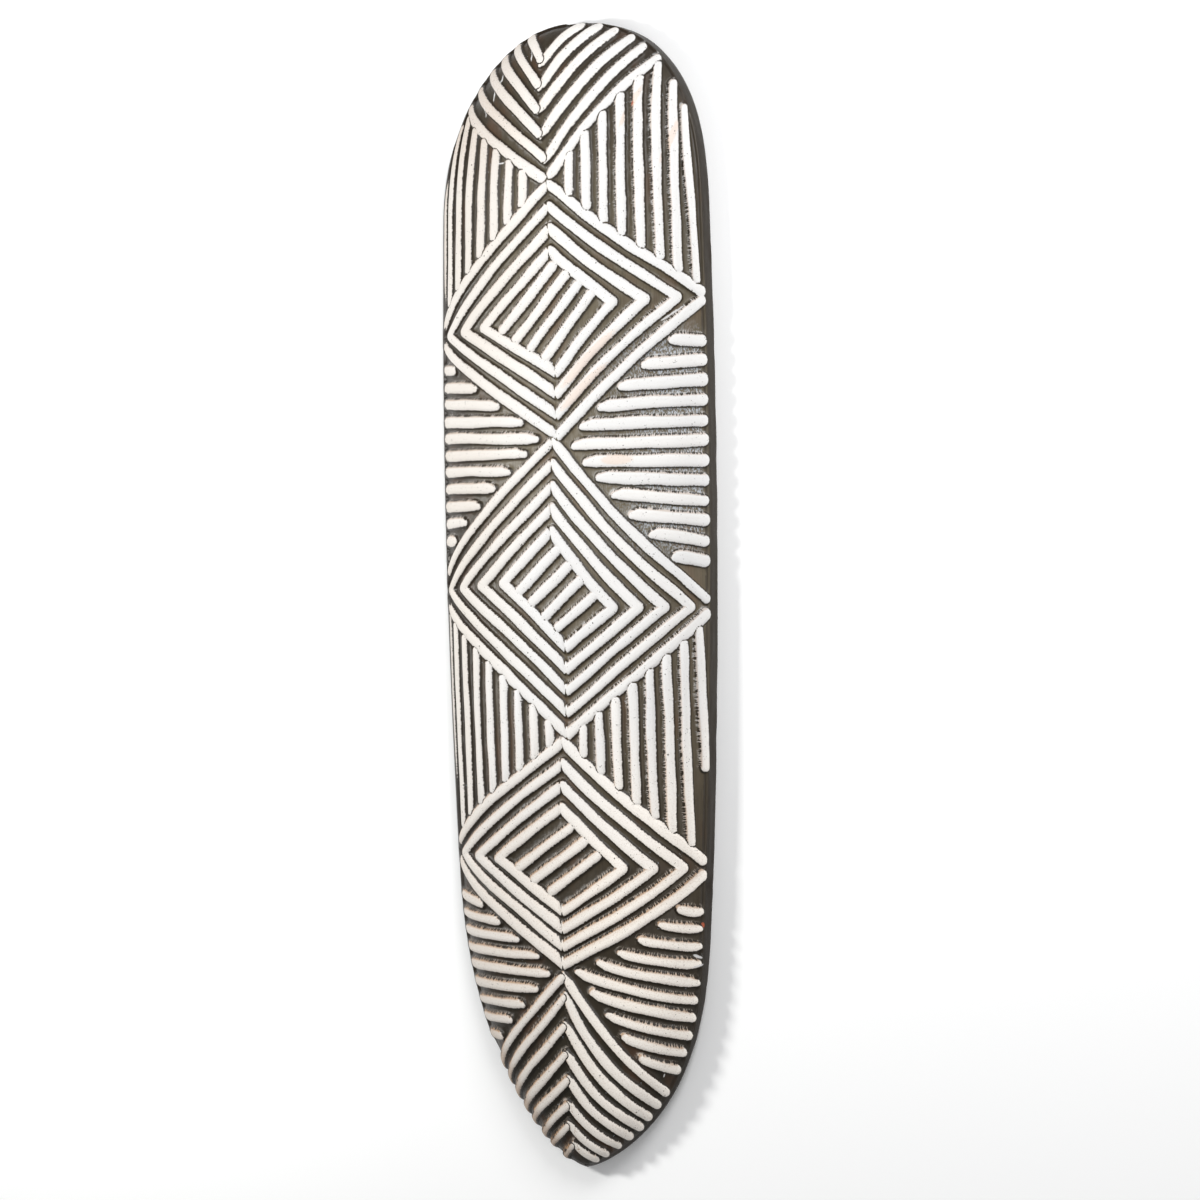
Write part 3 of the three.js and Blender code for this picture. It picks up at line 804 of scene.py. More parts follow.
@dataclass
class CarvedShield:
    """The carved shield as one closed mesh."""

    form: ShieldForm
    strokes: StrokeField
    step: float = 0.95             # size of the mesh's cells before it is thinned
    relief: float = 3.0            # height of the strokes above the ground between them
    root: float = 1.5              # how far a stroke's foot stands out past its painted edge
    crown_power: float = 3.2       # fullness of a stroke's section
    crease: float = 1.3            # depth of the cut between two strokes that touch
    crease_width: float = 0.7
    lip: float = 0.62              # share of the relief that the right edge keeps as a raised lip
    left_lip: float = 0.88         # the same for the left edge
    shoulder: float = 5.0          # the face's depth dies away this far down a wall
    triangles: int = 186000
    grip_width: float = 28.0
    grip_low: float = 2.5
    grip_high: float = 17.5
    grip_half_run: float = 98.0
    flute_width: float = 13.0      # width of a gouge's track along the hollow
    wall_steps: int = 16
    rim_steps: int = 9
    hollow_steps: int = 72

    NAME = "carved_shield"
    PLAIN_HEAD = (-400.0, -380.0)  # the left edge is dressed above this stretch

    def rows(self) -> Array:
        """Places along for the mesh's rows: even steps, and finer ones where an outline closes.

        Returns:
            Rising places just short of the two ends, shape (m, 1).
        """
        reach = self.form.half_length
        even = np.linspace(-reach, reach, int(2 * reach / self.step) + 1)[1:-1]
        close = 0.02 * 1.7 ** np.arange(8)
        ends = [sign * (end - close) for sign in (-1, 1)
                for end in (reach, reach * self.form.hollow_along)]
        return np.unique(np.concatenate([even, *ends]))[:, None]

    def height(self, read: dict[str, Array]) -> Array:
        """Height of the strokes over the ground.

        With t going from 0 at a stroke's foot to 1 on its middle line, the height is relief times
        1 - (1 - t)^power. Where two strokes touch, a crease is cut along the line where they
        cover equally.

        Args:
            read: The strokes as measured at each place.

        Returns:
            Heights.
        """
        t = np.clip((read["cover"] + self.root) / (read["half"] + self.root), 0.0, 1.0)
        raised = self.relief * (1 - (1 - t) ** self.crown_power)
        touching = ease(read["rival"], -self.root, 0.6) * (0.25 + 0.75 * read["firm"])
        gap = read["cover"] - read["rival"]
        creased = touching * np.exp(-(gap / self.crease_width) ** 2)
        seamed = np.exp(-(read["join"] / self.crease_width) ** 2)
        return np.maximum(raised - self.crease * np.maximum(creased, seamed), 0.0)

    def ground_depth(self, across: Array, along: Array) -> Array:
        """Depth of the bare ground under the tops, shallower on the lips along both edges.

        Args:
            across: Places across.
            along: Places along.

        Returns:
            Depths.
        """
        from_edge = self.form.half_arc(along) - np.abs(across)
        reach = np.where(across > 0, 3.4, 6.0)
        upper = np.where(across > 0, ease(along, -460.0, -380.0), ease(along, -405.0, -380.0))
        most = np.where(across > 0, self.lip, self.left_lip)
        lip = most * ease(-from_edge, -reach, -0.4 * reach) * upper
        chatter = 0.16 * Ripple(3, 4.6, 7.5).read(across, along)
        chatter = chatter + 0.10 * Ripple(4, 2.1, 2.6).read(across, along)
        return (self.relief + chatter) * (1 - lip)

    def edge_dent(self, along: Array) -> Array:
        """How far the right edge is worn in: a nick with the stretch below it worn back."""
        nick = 2.0 * np.exp(-((along + 252.0) / 5.0) ** 2)
        worn = 0.9 * ease(-along, 248.0, 256.0) * ease(along, -330.0, -285.0)
        return nick + worn + 0.5 + 0.5 * Ripple(9, 60.0, 60.0).read(along, along)

    def outer(self, rows: Array) -> tuple[Array, Array, Array]:
        """The face and both walls, from the foot of the left wall over the face to the right.

        A face point is the top surface less depth along its normal. A wall point is the outline
        less an inset: the face's own inset at the top, which dies away over the shoulder, and a
        rounding that grows towards the underside.

        Args:
            rows: Places along, shape (m, 1).

        Returns:
            Points (m, n, 3), and their places across and along (m, n).
        """
        form, count = self.form, self.wall_steps
        arc = form.half_arc(rows)
        q = np.linspace(-1.0, 1.0, int(2 * arc.max() / self.step) + 1)[None, :]
        top = form.top(q, rows)
        normal = np.cross(np.gradient(top, axis=1), np.gradient(top, axis=0))
        normal /= np.maximum(np.linalg.norm(normal, axis=-1, keepdims=True), 1e-9)
        fall = np.linspace(0.0, 1.0, count + 1)[None, 1:] ** 1.15
        drop = fall * form.rim_height
        across = np.concatenate([-(arc + drop)[:, ::-1], q * arc, arc + drop], axis=1)
        along = np.broadcast_to(rows, across.shape)
        raised = self.height(self.strokes.read(across.ravel(), along.ravel()))
        share = 1 - raised.reshape(across.shape) / self.relief
        depth = self.ground_depth(across, along) * share
        face = top - normal * depth[:, count:-count, None]
        left = self._wall(face[:, 0], top[:, 0], depth[:, :count][:, ::-1], fall, rows)
        right = self._wall(face[:, -1], top[:, -1], depth[:, -count:], fall, rows, worn=True)
        return np.concatenate([left[:, ::-1], face, right], axis=1), across, along

    def _wall(self, face_edge: Array, outline: Array, depth: Array, fall: Array, rows: Array,
              worn: bool = False) -> Array:
        """One wall, from the edge of the face down to the underside.

        Args:
            face_edge: The face's carved edge points, shape (m, 3).
            outline: The edge points of the top surface, shape (m, 3).
            depth: Depth of the ground at every wall point, shape (m, n).
            fall: Share of the way down of every wall point, shape (1, n).
            rows: Places along, shape (m, 1).
            worn: Whether this is the worn right wall.

        Returns:
            Points, shape (m, n, 3), from the top down.
        """
        tangent = np.gradient(outline[:, :2], axis=0)
        tangent /= np.maximum(np.linalg.norm(tangent, axis=1, keepdims=True), 1e-9)
        side = np.sign(outline[:, 0:1])
        outwards = np.stack([tangent[:, 1], -tangent[:, 0]], axis=1) * side
        sunk = face_edge[:, 2:3]
        height = sunk * (1 - fall)
        shoulder = np.clip((sunk - height) / self.shoulder, 0.0, 1.0)
        lean = math.sin(self.form.edge_slope) * depth * (1 - shoulder) ** 1.8
        footward = ease(-rows, 250.0, 430.0)
        tuck, reach = 1.3 + 5.0 * footward, 1.6 + 8.0 * footward
        tucked = tuck * np.clip(1 - height / reach, 0.0, 1.0) ** 2
        facets = 0.28 * (Ripple(21, 5.0, 16.0).read(height, rows) - 1) * ease(shoulder, 0.1, 0.9)
        inset = lean + tucked - facets
        if worn:
            inset = inset + self.edge_dent(rows) * ease(1 - fall, -0.2, 0.8)
        ground = outline[:, None, :2] - outwards[:, None] * inset[..., None]
        return np.concatenate([ground, height[..., None]], axis=-1)

    def inner(self, rows: Array, outer: Array) -> Array:
        """The rim's flat underside and the hollow, from the right wall's foot to the left's.

        The rim runs straight from a wall's foot to the hollow's edge. The hollow is the form's
        arch, less the shallow scallops that a gouge leaves along it.

        Args:
            rows: Places along, shape (m, 1).
            outer: The outer points, shape (m, n, 3).

        Returns:
            Points, shape (m, n, 3).
        """
        u = np.cos(np.linspace(0.0, math.pi, self.hollow_steps + 1))[None, :]
        hollow = self.form.hollow(u, rows)
        wandered = hollow[..., 0] + 4.0 * Ripple(31, 40.0, 55.0).read(hollow[..., 0], rows)
        flutes = np.abs(np.sin(wandered * math.pi / self.flute_width))
        chops = Ripple(33, self.flute_width, 30.0).read(wandered, rows)
        hollow[..., 2] -= (0.9 * flutes + 0.5 * chops) * ease(hollow[..., 2], 1.0, 12.0)
        share = np.linspace(0.0, 1.0, self.rim_steps + 1)[None, 1:-1, None]
        foot_right, foot_left = outer[:, -1:, :], outer[:, :1, :]
        right = foot_right + (hollow[:, :1] - foot_right) * share
        left = hollow[:, -1:] + (foot_left - hollow[:, -1:]) * share
        return np.concatenate([right, hollow, left], axis=1)

    def board(self) -> Object:
        """The board without its grip, with the attributes across, along and outer.

        Returns:
            The board as an object.
        """
        rows = self.rows()
        outer, across, along = self.outer(rows)
        inner = self.inner(rows, outer)
        piece = tube(self.NAME, np.concatenate([outer, inner], axis=1))
        blank = np.zeros(inner.shape[:2])
        named = {"across": (across, blank), "along": (along, blank + rows),
                 "outer": (np.ones(across.shape), blank)}
        for name, halves in named.items():
            set_attribute(piece.data, name, np.concatenate(halves, axis=1))
        return piece

    def grip(self) -> Object:
        """The grip: a rounded bar along the hollow whose ends rise into the roof.

        The bar's middle line is flat in its middle and climbs at both ends by an eased step. Its
        section is a superellipse |x|^3 + |z|^3 = 1 that widens as it climbs.

        Returns:
            The bar as an object of its own, to be joined with the board.
        """
        steps, sides = 90, 40
        roof = float(self.form.hollow_depth(np.array(0.0))) + 4.0
        along = np.linspace(-self.grip_half_run, self.grip_half_run, steps + 1)[:, None]
        climb = ease(np.abs(along), 46.0, 92.0)
        angle = np.linspace(0.0, 2 * math.pi, sides, endpoint=False)[None, :]
        rounded = [np.sign(f) * np.abs(f) ** (2 / 3) for f in (np.cos(angle), np.sin(angle))]
        middle = (self.grip_low + self.grip_high) / 2
        half_height = (self.grip_high - self.grip_low) / 2
        sway = 0.5 * Ripple(41, 12.0, 25.0).read(angle * 6, along)
        x = (self.grip_width / 2 + 5.0 * climb ** 2 - 1.2 * np.cos(along / 30) + sway) * rounded[0]
        z = middle + (roof - middle) * climb + (half_height - 0.6 + 0.5 * sway) * rounded[1]
        return tube("grip", np.stack([x, along + 0 * angle, z], axis=-1), flipped=True)

    def build(self) -> Object:
        """Makes the board, thins it, joins the grip and writes the measures that finishes need.

        Returns:
            The finished piece.
        """
        board = self.board()
        log.info("board: %d quads", len(board.data.polygons))
        board.modifiers.new("weld", "WELD").merge_threshold = 2e-6
        faces = sum(len(p.vertices) - 2 for p in board.data.polygons)
        board.modifiers.new("thin", "DECIMATE").ratio = self.triangles / faces
        apply_modifiers(board)
        log.info("thinned to %d triangles", len(board.data.polygons))
        grip = self.grip()
        join = board.modifiers.new("grip", "BOOLEAN")
        join.operation, join.object, join.solver = "UNION", grip, "MANIFOLD"
        apply_modifiers(board)
        bpy.data.objects.remove(grip)
        log.info("joined with the grip: %d faces", len(board.data.polygons))
        self.measure(board.data)
        board.data.polygons.foreach_set("use_smooth", np.ones(len(board.data.polygons), bool))
        return board

    def measure(self, mesh: bpy.types.Mesh) -> None:
        """Writes what the finishes need to know at every point of the mesh.

        Paint leaves the seams between strokes bare, and a line along the left edge, and it stops
        where the wall begins.

        Args:
            mesh: The thinned mesh, which still has across, along and outer.
        """
        across, along, outer = (get_attribute(mesh, name) for name in ("across", "along", "outer"))
        read = self.strokes.read(across, along)
        gap = read["cover"] - read["rival"]
        patchy = Ripple(51, 2.6, 2.6).read(across, along) + 2.4 * read["firm"] - 1.0
        seam = ease(read["rival"], -1.0, 0.5) * np.exp(-(gap / 0.75) ** 2) * ease(patchy, -0.3, 0.5)
        corner = np.exp(-(read["join"] / 0.5) ** 2) * ease(patchy, 0.4, 1.2)
        from_edge = self.form.half_arc(along) - np.abs(across)
        line = 9.0 + 2.2 * ease(along, -380.0, -200.0) * ease(-along, -400.0, -220.0)
        dressed = ease(along, *self.PLAIN_HEAD)
        bare_edge = ease(line - from_edge, -1.0, 0.6) * dressed * (across < 0)
        wall = ease(-from_edge, 0.0, 1.5) * dressed
        cover = read["cover"] - 5.0 * np.maximum(seam, corner) - 5.0 * bare_edge - 7.0 * wall
        measures = {
            "cover": np.where(outer > 0.5, cover, -StrokeField.REACH),
            "run": read["run"], "aside": read["aside"], "tone": read["tone"],
            "lit": np.where(read["cover"] > -4.5, read["lit"], 0.0),
            "edge": from_edge * np.sign(across + 1e-6),
        }
        for name, values in measures.items():
            set_attribute(mesh, name, values)


# ---- finishes ----


def shade(red: int, green: int, blue: int) -> Colour:
    """A colour given as it shows on a screen, 0 to 255, as the linear one that shaders take."""
    levels = (level / 255 for level in (red, green, blue))
    return *(c / 12.92 if c <= 0.04045 else ((c + 0.055) / 1.055) ** 2.4 for c in levels), 1.0


class Graph:
    """A node tree, with short ways to add nodes and join them."""

    def __init__(self, tree: bpy.types.NodeTree) -> None:
        """Wraps a tree."""
        self.tree = tree

    def add(self, kind: str, inputs: dict | None = None, **settings: object) -> bpy.types.Node:
        """Adds a node of a kind, with its inputs by name or number, and its settings."""
        node = self.tree.nodes.new("ShaderNode" + kind)
        for name, value in settings.items():
            setattr(node, name, value)
        for name, value in (inputs or {}).items():
            self.feed(node.inputs[name], value)
        return node

    def feed(self, socket: bpy.types.NodeSocket, value: object) -> None:
        """Joins an output to a socket, or sets the socket to a plain value."""
        if isinstance(value, bpy.types.NodeSocket):
            self.tree.links.new(value, socket)
        else:
            socket.default_value = value

    def measure(self, name: str) -> bpy.types.NodeSocket:
        """One of the numbers written on the mesh's points."""
        return self.add("Attribute", attribute_name=name).outputs["Fac"]

    def math(self, operation: str, a: object, b: object, clamp: bool = False) -> bpy.types.NodeSocket:
        """One sum on two numbers."""
        return self.add("Math", {0: a, 1: b}, operation=operation, use_clamp=clamp).outputs[0]

    def times(self, first: object, *others: object) -> bpy.types.NodeSocket:
        """The product of some numbers."""
        for other in others:
            first = self.math("MULTIPLY", first, other)
        return first

    def plus(self, first: object, *others: object, clamp: bool = False) -> bpy.types.NodeSocket:
        """The sum of some numbers, kept from 0 to 1 if clamp is set."""
        for i, other in enumerate(others):
            first = self.math("ADD", first, other, clamp and i == len(others) - 1)
        return first

    def about_half(self, value: object, amount: object) -> bpy.types.NodeSocket:
        """How far a number lies from one half, times an amount."""
        return self.times(self.math("SUBTRACT", value, 0.5), amount)

    def span(self, value: object, low: float, high: float, to_low: float = 0.0,
             to_high: float = 1.0) -> bpy.types.NodeSocket:
        """Eases a number from one range to another."""
        inputs = {"Value": value, "From Min": low, "From Max": high, "To Min": to_low,
                  "To Max": to_high}
        return self.add("MapRange", inputs, interpolation_type="SMOOTHSTEP").outputs["Result"]

    def spans(self, *spans: tuple) -> bpy.types.NodeSocket:
        """The product of several eased ranges, each given as span takes it."""
        return self.times(*(self.span(*span) for span in spans))

    def mix(self, share: object, a: object, b: object) -> bpy.types.NodeSocket:
        """Mixes two colours."""
        return self.add("Mix", {0: share, 6: a, 7: b}, data_type="RGBA").outputs[2]

    def ramp(self, value: object, low: float, high: float, colours: tuple) -> bpy.types.NodeSocket:
        """A colour that passes evenly through several as a number goes from low to high."""
        share = self.math("DIVIDE", self.math("SUBTRACT", value, low), high - low, clamp=True)
        node = self.add("ValToRGB", {0: share})
        elements = node.color_ramp.elements
        for i, colour in enumerate(colours):
            place = i / (len(colours) - 1)
            element = elements[i] if i < 2 else elements.new(place)
            element.position, element.color = place, colour
        return node.outputs[0]

    def vector(self, x: object, y: object, z: object) -> bpy.types.NodeSocket:
        """A vector from three numbers."""
        return self.add("CombineXYZ", {0: x, 1: y, 2: z}).outputs[0]

    def noise(self, vector: object, stretch: float | tuple, detail: float = 3.0,
              roughness: float = 0.55) -> bpy.types.NodeSocket:
        """Soft noise about one half, over a vector stretched evenly or by parts."""
        scale = stretch if isinstance(stretch, tuple) else (stretch,) * 3
        placed = self.add("Mapping", {"Vector": vector, "Scale": scale}).outputs[0]
        inputs = {"Vector": placed, "Scale": 1.0, "Detail": detail, "Roughness": roughness}
        return self.add("TexNoise", inputs).outputs["Fac"]

    def dots(self, vector: object, scale: float, size: object) -> bpy.types.NodeSocket:
        """A mask of scattered dots of a size."""
        far = self.add("TexVoronoi", {"Vector": vector, "Scale": scale}).outputs["Distance"]
        return self.math("LESS_THAN", far, size)


class Group:
    """A shader node group that is drawn once and placed wherever it is needed."""

    NAME = ""
    INPUTS: dict[str, str] = {}
    OUTPUTS: tuple[str, ...] = ()

    @classmethod
    def draw(cls, graph: Graph, given: dict) -> tuple:
        """Draws the group's nodes and gives its outputs in order."""
        raise NotImplementedError

    @classmethod
    def place(cls, graph: Graph, **values: object) -> bpy.types.Node:
        """Places the group in a material's tree, drawn first if it is not there yet.

        Args:
            graph: The material's graph.
            values: A value for every input, under its name in small letters.

        Returns:
            The group's node.
        """
        tree = bpy.data.node_groups.get(cls.NAME)
        if not tree:
            tree = bpy.data.node_groups.new(cls.NAME, "ShaderNodeTree")
            for name, kind in cls.INPUTS.items():
                tree.interface.new_socket(name, in_out="INPUT", socket_type="NodeSocket" + kind)
            for name in cls.OUTPUTS:
                tree.interface.new_socket(name, in_out="OUTPUT", socket_type="NodeSocketFloat")
            given = {s.name: s for s in tree.nodes.new("NodeGroupInput").outputs if s.name}
            taken = tree.nodes.new("NodeGroupOutput").inputs
            inside = Graph(tree)
            for name, value in zip(cls.OUTPUTS, cls.draw(inside, given)):
                inside.feed(taken[name], value)
        inputs = {name.capitalize(): value for name, value in values.items()}
        return graph.add("Group", inputs, node_tree=tree)


class WoodGrain(Group):
    """Grain of a dark oiled plank that runs along it: a mask of streaks and a height."""

    NAME = "wood_grain"
    INPUTS = {"Place": "Vector", "Fineness": "Float"}
    OUTPUTS = ("Streaks", "Patches", "Height")

    @classmethod
    def draw(cls, graph: Graph, given: dict) -> tuple:
        """Draws streaks at two scales, broad patches, and pores that show in the height."""
        scaled = graph.add("VectorMath", {0: given["Place"], "Scale": given["Fineness"]},
                           operation="SCALE")
        place = scaled.outputs[0]
        fine = graph.noise(place, (900.0, 22.0, 900.0), 4.0)
        broad = graph.noise(place, (160.0, 7.0, 160.0))
        streaks = graph.plus(graph.times(fine, 0.6), graph.times(broad, 0.4))
        patches = graph.noise(place, (28.0, 14.0, 28.0))
        pores = graph.span(graph.noise(place, (1500.0, 60.0, 1500.0), 1.0), 0.28, 0.42)
        return streaks, patches, graph.plus(graph.times(streaks, 0.7), graph.times(pores, 0.3))


class Brushwork(Group):
    """Paint dabbed along the strokes: where it holds, its bristle marks, specks and hairs."""

    NAME = "brushwork"
    INPUTS = {"Place": "Vector", **dict.fromkeys(
        ("Cover", "Run", "Aside", "Tone", "Lit", "Wear", "Hatch"), "Float")}
    OUTPUTS = ("Paint", "Bristles", "Specks")

    @classmethod
    def draw(cls, graph: Graph, given: dict) -> tuple:
        """Draws the paint's ragged edge, its chips and hatching, and hairs that reach past it."""
        place, cover, lit = given["Place"], given["Cover"], given["Lit"]
        stroke = graph.vector(given["Run"], given["Aside"], graph.times(given["Tone"], 900.0))
        bristles = graph.noise(stroke, (0.10, 1.9, 1.0), 4.0)
        ragged = graph.noise(stroke, (0.5, 0.25, 1.0))
        hairs = graph.noise(stroke, (0.85, 0.16, 1.0))
        fine = graph.noise(place, 1300.0, 2.0)
        far = graph.plus(0.4, graph.times(graph.span(lit, 0.0, 0.8), 1.5))
        edge = graph.plus(cover, graph.about_half(ragged, 1.3), graph.about_half(fine, 0.9),
                          graph.about_half(graph.span(hairs, 0.36, 0.64), far))
        held = graph.span(edge, -0.15, 0.40)
        limit = graph.plus(0.15, graph.times(given["Wear"], 0.34))
        lost = graph.math("LESS_THAN", graph.noise(place, 420.0, 5.0, 0.7), limit)
        hatched = graph.math("LESS_THAN", hairs, graph.times(given["Hatch"], 0.60))
        kept = (graph.math("SUBTRACT", 1.0, gone) for gone in (lost, hatched))
        wisps = graph.spans((hairs, 0.50, 0.60), (cover, -4.0, -0.8), (lit, 0.3, 0.9))
        paint = graph.math("MAXIMUM", graph.times(held, *kept), graph.times(wisps, 0.62))
        specks = 0.0
        for scale, low, size in ((260.0, 0.46, 0.24), (620.0, 0.40, 0.30)):
            chance = graph.noise(place, scale * 0.4, 2.0)
            own = graph.dots(place, scale, graph.span(chance, low, 0.80, 0.0, size))
            specks = graph.math("MAXIMUM", specks, own)
        return paint, bristles, specks


class Spot(Group):
    """A mark at a place on the face: a mask that fades at the rim of a turned ellipse."""

    NAME = "spot"
    INPUTS = {"Face": "Vector", "Middle": "Vector", "Turn": "Float", "Reach": "Vector"}
    OUTPUTS = ("Mask",)

    @classmethod
    def draw(cls, graph: Graph, given: dict) -> tuple:
        """Draws the distance from the middle, as a share of the reach, with a rough rim."""
        off = graph.add("VectorMath", {0: given["Face"], 1: given["Middle"]}, operation="SUBTRACT")
        angle = graph.times(given["Turn"], -1.0)
        turned = graph.add("VectorRotate", {"Vector": off.outputs[0], "Angle": angle},
                           rotation_type="Z_AXIS")
        shares = graph.add("VectorMath", {0: turned.outputs[0], 1: given["Reach"]},
                           operation="DIVIDE")
        far = graph.add("VectorMath", {0: shares.outputs[0]}, operation="LENGTH").outputs["Value"]
        rim = graph.plus(far, graph.about_half(graph.noise(given["Face"], 0.7), 0.7))
        return (graph.span(rim, 1.0, 0.7),)


@dataclass(frozen=True)
class Mark:
    """One mark: its middle on the face, its half length and half breadth, and its turn.

    The turn is in degrees from straight across the shield.
    """

    middle: Point
    half_length: float
    half_breadth: float
    turn: float

    def mask(self, graph: Graph, face: object) -> bpy.types.NodeSocket:
        """The mark's mask in a material's tree."""
        node = Spot.place(graph, face=face, middle=(*self.middle, 0.0),
                          turn=math.radians(self.turn),
                          reach=(self.half_length, self.half_breadth, 1.0))
        return node.outputs["Mask"]


@dataclass(frozen=True)
class Surface:
    """What a finish comes to: its colour, its roughness and its height, and how it shines."""

    colour: object
    roughness: object
    height: object
    strength: float
    depth: float
    specular: float = 0.5


@dataclass(frozen=True)
class Finish:
    """A finish that turns into a material."""

    name: str = "finish"

    def surface(self, graph: Graph, place: object) -> Surface:
        """Draws the finish over object coordinates."""
        raise NotImplementedError

    def build(self) -> bpy.types.Material:
        """Builds the material.

        Returns:
            The material, which reads object coordinates and the mesh's own measures.
        """
        material = bpy.data.materials.new(self.name)
        material.use_nodes = True
        material.node_tree.nodes.clear()
        graph = Graph(material.node_tree)
        drawn = self.surface(graph, graph.add("TexCoord").outputs["Object"])
        bump = graph.add("Bump", {"Strength": drawn.strength, "Distance": drawn.depth,
                                  "Height": drawn.height})
        shader = graph.add("BsdfPrincipled", {
            "Base Color": drawn.colour, "Roughness": drawn.roughness,
            "Specular IOR Level": drawn.specular, "Normal": bump.outputs["Normal"]})
        graph.add("OutputMaterial", {"Surface": shader.outputs["BSDF"]})
        return material


@dataclass(frozen=True)
class Readings:
    """What a material can read at a point: where it is, and the mesh's measures there."""

    place: object
    x: object
    y: object
    face: object
    cover: object
    tone: object
    lit: object
    edge: object
    lower: object       # 1 on the lower part of the shield

    @classmethod
    def of(cls, graph: Graph, place: object) -> "Readings":
        """The readings in a material's tree."""
        parts = graph.add("SeparateXYZ", {0: place}).outputs
        across, along, *rest = (graph.measure(name) for name in (
            "across", "along", "cover", "tone", "lit", "edge"))
        return cls(place, parts["X"], parts["Y"], graph.vector(across, along, 0.0), *rest,
                   graph.span(parts["Y"], -0.06, -0.28))


